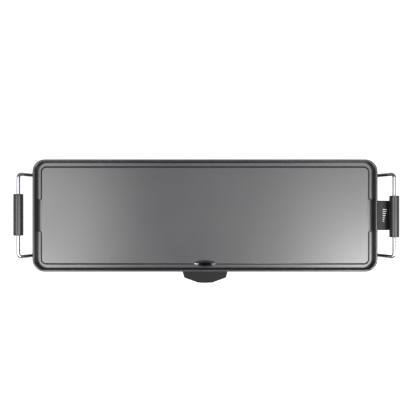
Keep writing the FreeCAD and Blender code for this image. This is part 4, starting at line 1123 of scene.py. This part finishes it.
@dataclass
class Handle:
    """One bent chrome rod with its moulded sleeve."""

    side: int
    bar_x: float
    rod_radius: float = 4.0
    root_z: float = 40.9
    root_y: float = 82.0
    bar_z: float = 74.0
    bar_y: float = 85.0
    run: float = 40.7
    tip_back: float = 105.0
    tip_y: float = 72.5
    bends: tuple[float, ...] = (0.0, 6.0, 18.0, 7.0, 7.0, 18.0, 6.0, 0.0)
    grip_radius: float = 10.1
    grip_half: float = 42.5
    relief_ring: tuple[tuple[float, float], ...] = ((2.6, 0.0), (2.8, 0.25), (3.3, 0.25), (3.5, 0.0))
    grip_middle: float = 0.0
    grip_edge: float = 0.9

    @property
    def label(self) -> str:
        """The end that this handle is on.

        Returns:
            Its name.
        """
        return "left" if self.side < 0 else "right"

    def rod(self) -> None:
        """Bends the rod: turned-in tips, a rise past the rim and a level bar."""
        bar = self.side * self.bar_x
        tip = bar - self.side * self.tip_back
        rise = bar - self.side * self.run
        half = [
            (tip, self.tip_y, self.root_z),
            (tip, self.root_y, self.root_z),
            (rise, self.root_y, self.root_z),
            (bar, self.bar_y, self.bar_z),
        ]
        path = half + [(x, -y, z) for x, y, z in reversed(half)]
        base = points_mesh([LAYOUT.at(*p) for p in path], True, self.bends)
        mesh = BENT_ROD.run(base, CHROME, {"Radius": self.rod_radius * MM, "Sides": 40})
        add_piece(f"{self.label}_chrome_rod", mesh, Body.GRIDDLE, CHROME, [f"{self.label}_handle_rod"])

    def grip(self) -> None:
        """Turns the sleeve, with softened ends and a shallow relief ring near each."""
        outside = self.grip_radius
        half = self.grip_half
        edge = self.grip_edge
        profile = [(-half, self.rod_radius), (-half, outside - edge)]
        for step in range(1, 5):
            angle = math.pi / 2 * step / 5
            profile.append((-half + edge * (1 - math.cos(angle)), outside - edge * (1 - math.sin(angle))))
        profile.append((-half + edge, outside))
        profile += [(-half + distance, outside - depth) for distance, depth in self.relief_ring]
        profile += [(-distance, radius) for distance, radius in reversed(profile)]
        mesh = turned(profile, LAYOUT.at(self.side * self.bar_x, self.grip_middle, self.bar_z), Vector((0, 1, 0)), 96)
        add_piece(f"{self.label}_sleeve", mesh, Body.GRIDDLE, PHENOLIC, [f"{self.label}_handle_grip"])

    def build(self) -> None:
        """Makes the rod and its sleeve."""
        self.rod()
        self.grip()


@dataclass
class DripTray:
    """The tray with its pull lip, and the rails that it hangs in."""

    rail_screw_x: float = 54.0
    rail_screw_ys: tuple[float, float] = (-88.0, -32.0)
    rail_seat: float = 44.0
    screw: ScrewSize = ScrewSize(3.4, 2.2, 1.75, 12.0)

    def build(self) -> None:
        """Makes the tray, rails and rail screws."""
        tray = refined("drip_tray", edge_mm=0.35)
        add_piece("tray_moulding", tray, Body.TRAY, POLYPROPYLENE, ["drip_tray"])
        for side_name in ("left", "right"):
            node = f"{side_name}_tray_rail"
            add_piece(node + "_fold", refined(node, edge_mm=0.3), Body.GRIDDLE, ZINC_PLATE, [node])
        places = [
            LAYOUT.at(side * self.rail_screw_x, y, self.rail_seat) for side in (-1, 1) for y in self.rail_screw_ys
        ]
        add_screws("tray_rail_screws", places, self.screw, Body.GRIDDLE)


# ---- the control


@dataclass
class Control:
    """The plug-in thermostat control: housing, marks, sockets and switch."""

    top_z: float = 62.0
    low_z: float = 34.0
    post_places: tuple[tuple[float, float], ...] = ((358.6, -24.0), (358.6, 24.0), (374.0, 24.0))
    screw_depth: float = 3.0
    screw: ScrewSize = ScrewSize(2.4, 1.8, 1.25, 17.0)
    mark_x: float = 367.0
    mark_start_y: float = -12.0
    mark_pitch: float = 4.0
    mark_count: int = 7
    mark_width: float = 1.5
    mark_length: float = 2.4
    mark_growth: float = 1.0
    index_x: float = 387.8
    index_length: float = 2.6
    index_width: float = 0.8
    ink: float = 0.06

    def marks(self) -> None:
        """Prints a row of bars that get longer as it gets hotter, and the mark that the dial is read at."""
        places = []
        for index in range(self.mark_count):
            length = self.mark_length + index * self.mark_growth
            y = self.mark_start_y + index * self.mark_pitch
            places.append(LAYOUT.at(self.mark_x + length / 2, y, self.top_z))
        bars = BARS.run(
            points_mesh(places),
            WHITE_INK,
            {
                "Size": Vector((self.mark_length, self.mark_width, self.ink)) * MM,
                "Growth": Vector((self.mark_growth, 0.0, 0.0)) * MM,
            },
        )
        add_piece("heat_scale", bars, Body.CONTROL, WHITE_INK)
        index_line = BARS.run(
            points_mesh([LAYOUT.at(self.index_x, 0.0, self.top_z)]),
            WHITE_INK,
            {"Size": Vector((self.index_length, self.index_width, self.ink)) * MM},
        )
        add_piece("dial_index", index_line, Body.CONTROL, WHITE_INK)

    def build(self) -> None:
        """Makes the housing and the marks, and dresses what is inside."""
        for node in ("control_cover", "control_base"):
            add_piece(node + "_moulding", refined(node, edge_mm=0.3), Body.CONTROL, NYLON, [node])
        self.marks()
        places = [LAYOUT.at(x, y, self.low_z + self.screw_depth) for x, y in self.post_places]
        add_screws("control_screws", places, self.screw, Body.CONTROL)
        dress(BRASS, "shaft_bush", "contact_sockets", "contact_arm", "fixed_contact", "cord_terminals")
        dress(RUBBER, "cord_gland")
        dress(RED_LENS, "indicator_lens")
        dress(LAMP_GLASS, "indicator_lamp")
        dress(NICKEL, "sensor_probe", "expansion_rod", "arm_pivot")
        dress(CERAMIC, "contact_block", "pin_guide", "follower_pin", "contact_insulator")
        dress(ZINC_PLATE, "switch_chassis", "cord_terminal_screws")
        dress(SILVER, "moving_contact")


@dataclass
class Dial:
    """The temperature dial, whose numbers pass under a fixed mark as it turns.

    Its moulded groove stands at the mark when it is off, so the ticks start one step after it.
    """

    face_x: float = 403.0
    z: float = 48.0
    tick_radius: float = 8.4
    tick_width: float = 0.35
    tick_length: float = 0.9
    number_radius: float = 6.3
    number_size: float = 3.3
    sweep_degrees: float = 270.0
    numbers_shown: int = 5
    ticks: int = 10
    ink: float = 0.06

    def spot(self, radius: float, degrees: float, proud: float = 0.02) -> Vector:
        """A point on the dial's face.

        Args:
            radius: Distance from the dial's middle, in millimetres.
            degrees: Clockwise from the top, seen from outside.
            proud: How far it stands off the face, in millimetres.

        Returns:
            The point in metres.
        """
        angle = math.radians(degrees)
        return LAYOUT.at(self.face_x + proud, radius * math.sin(angle), self.z + radius * math.cos(angle))

    def numbers(self) -> None:
        """Prints the numbers on the dial's face, from 1."""
        sheet = bmesh.new()
        for number in range(1, self.numbers_shown + 1):
            degrees = self.sweep_degrees * number / self.numbers_shown
            text = bpy.data.curves.new(f"number_{number}", "FONT")
            text.body = str(number)
            text.size = self.number_size * MM
            text.extrude = self.ink / 2 * MM
            text.resolution_u = 3
            text.align_x = "CENTER"
            text.align_y = "CENTER"
            mesh = evaluated(linked("number_writer", text))
            stand = Matrix(((0, 0, 1), (1, 0, 0), (0, 1, 0))).to_4x4()
            spin = Matrix.Rotation(math.radians(-degrees), 4, "X")
            mesh.transform(Matrix.Translation(self.spot(self.number_radius, degrees)) @ spin @ stand)
            sheet.from_mesh(mesh)
        merged = bpy.data.meshes.new("numbers")
        sheet.to_mesh(merged)
        sheet.free()
        add_piece("dial_numbers", merged, Body.DIAL, WHITE_INK)

    def build(self) -> None:
        """Makes the knob, its ticks and its numbers."""
        add_piece("dial_moulding", refined("dial_knob", edge_mm=0.15), Body.DIAL, NYLON, ["dial_knob"])
        dress(NICKEL, "dial_shaft")
        dress(PHENOLIC, "dial_cam")
        step = self.sweep_degrees / self.ticks
        places = [self.spot(self.tick_radius, step * (index + 1)) for index in range(self.ticks)]
        ticks = BARS.run(
            points_mesh(places),
            WHITE_INK,
            {
                "Size": Vector((self.ink, self.tick_width, self.tick_length)) * MM,
                "Turn": (-math.radians(step), 0.0, 0.0),
                "Turn step": (-math.radians(step), 0.0, 0.0),
            },
        )
        add_piece("dial_ticks", ticks, Body.DIAL, WHITE_INK)
        self.numbers()


# ---- the studio


@dataclass(frozen=True)
class Softbox:
    """A plain rectangular studio light."""

    name: str
    place: Point
    target: Point
    width: float
    height: float
    watts: float

    def build(self) -> None:
        """Adds the light."""
        light = bpy.data.lights.new(self.name, "AREA")
        light.shape = "RECTANGLE"
        light.size = self.width
        light.size_y = self.height
        light.energy = self.watts
        holder = linked(self.name, light)
        holder.location = self.place
        aim = Vector(self.target) - Vector(self.place)
        holder.rotation_euler = aim.to_track_quat("-Z", "Y").to_euler()


@dataclass(frozen=True)
class Studio:
    """Pale floor, soft lights and the camera straight above."""

    camera_place: Point = (0.00033, 0.0295, 1.184)
    view_degrees: float = 41.9
    floor_half: float = 40.0
    floor_gap: float = 0.0005
    floor_colour: str = "#8c8c8c"
    floor_roughness: float = 0.9
    floor_glow: float = 1.0
    world_strength: float = 0.3
    lights: tuple[Softbox, ...] = (
        Softbox("left front softbox", (-1.1, -0.8, 2.0), (0.0, 0.0, 0.07), 0.8, 0.9, 21.0),
        Softbox("left softbox", (-1.1, 0.0, 2.0), (0.0, 0.0, 0.07), 0.8, 1.1, 13.0),
        Softbox("right front softbox", (1.1, -0.8, 2.0), (0.0, 0.0, 0.07), 0.9, 1.0, 50.0),
        Softbox("right softbox", (1.1, 0.0, 2.0), (0.0, 0.0, 0.07), 0.8, 1.1, 9.0),
        Softbox("overhead fill", (0.3, 0.1, 2.3), (0.0, 0.0, 0.0), 0.9, 0.9, 3.0),
    )

    def floor(self) -> None:
        """Adds the pale floor."""
        sheet = bmesh.new()
        bmesh.ops.create_grid(sheet, x_segments=1, y_segments=1, size=self.floor_half)
        mesh = bpy.data.meshes.new("studio_floor")
        sheet.to_mesh(mesh)
        sheet.free()
        material = bpy.data.materials.new("white studio sweep, lit from below")
        material.use_nodes = True
        shader = material.node_tree.nodes["Principled BSDF"]
        shader.inputs["Base Color"].default_value = linear_rgb(self.floor_colour)
        shader.inputs["Roughness"].default_value = self.floor_roughness
        shader.inputs["Emission Color"].default_value = (1.0, 1.0, 1.0, 1.0)
        shader.inputs["Emission Strength"].default_value = self.floor_glow
        mesh.materials.append(material)
        floor = linked("studio_floor", mesh)
        floor.location.z = -self.floor_gap

    def camera(self) -> None:
        """Adds the camera, looking straight down with the rear at the top."""
        lens = bpy.data.cameras.new("camera")
        lens.angle = math.radians(self.view_degrees)
        holder = linked("camera", lens)
        holder.location = self.camera_place
        bpy.context.scene.camera = holder

    def build(self) -> None:
        """Adds the floor, lights, world and camera."""
        self.camera()
        self.floor()
        for light in self.lights:
            light.build()
        world = bpy.data.worlds.new("studio")
        world.use_nodes = True
        background = world.node_tree.nodes["Background"]
        background.inputs["Color"].default_value = (1.0, 1.0, 1.0, 1.0)
        background.inputs["Strength"].default_value = self.world_strength
        bpy.context.scene.world = world
        bpy.context.scene.view_settings.view_transform = "Standard"


def main() -> None:
    """Builds the studio and every sub-assembly."""
    logging.basicConfig(level=logging.INFO, format="%(name)s: %(message)s")
    assemblies: list[Any] = [
        Studio(),
        CookingPlate(),
        Heater(),
        BasePan(),
        Legs(),
        Handle(side=-1, bar_x=381.4, grip_middle=1.5),
        Handle(side=1, bar_x=386.7, grip_middle=-2.0),
        DripTray(),
        Control(),
        Dial(),
    ]
    for assembly in assemblies:
        LOG.info("building %s", type(assembly).__name__)
        assembly.build()
    bpy.context.view_layer.update()


if __name__ == "__main__":
    main()
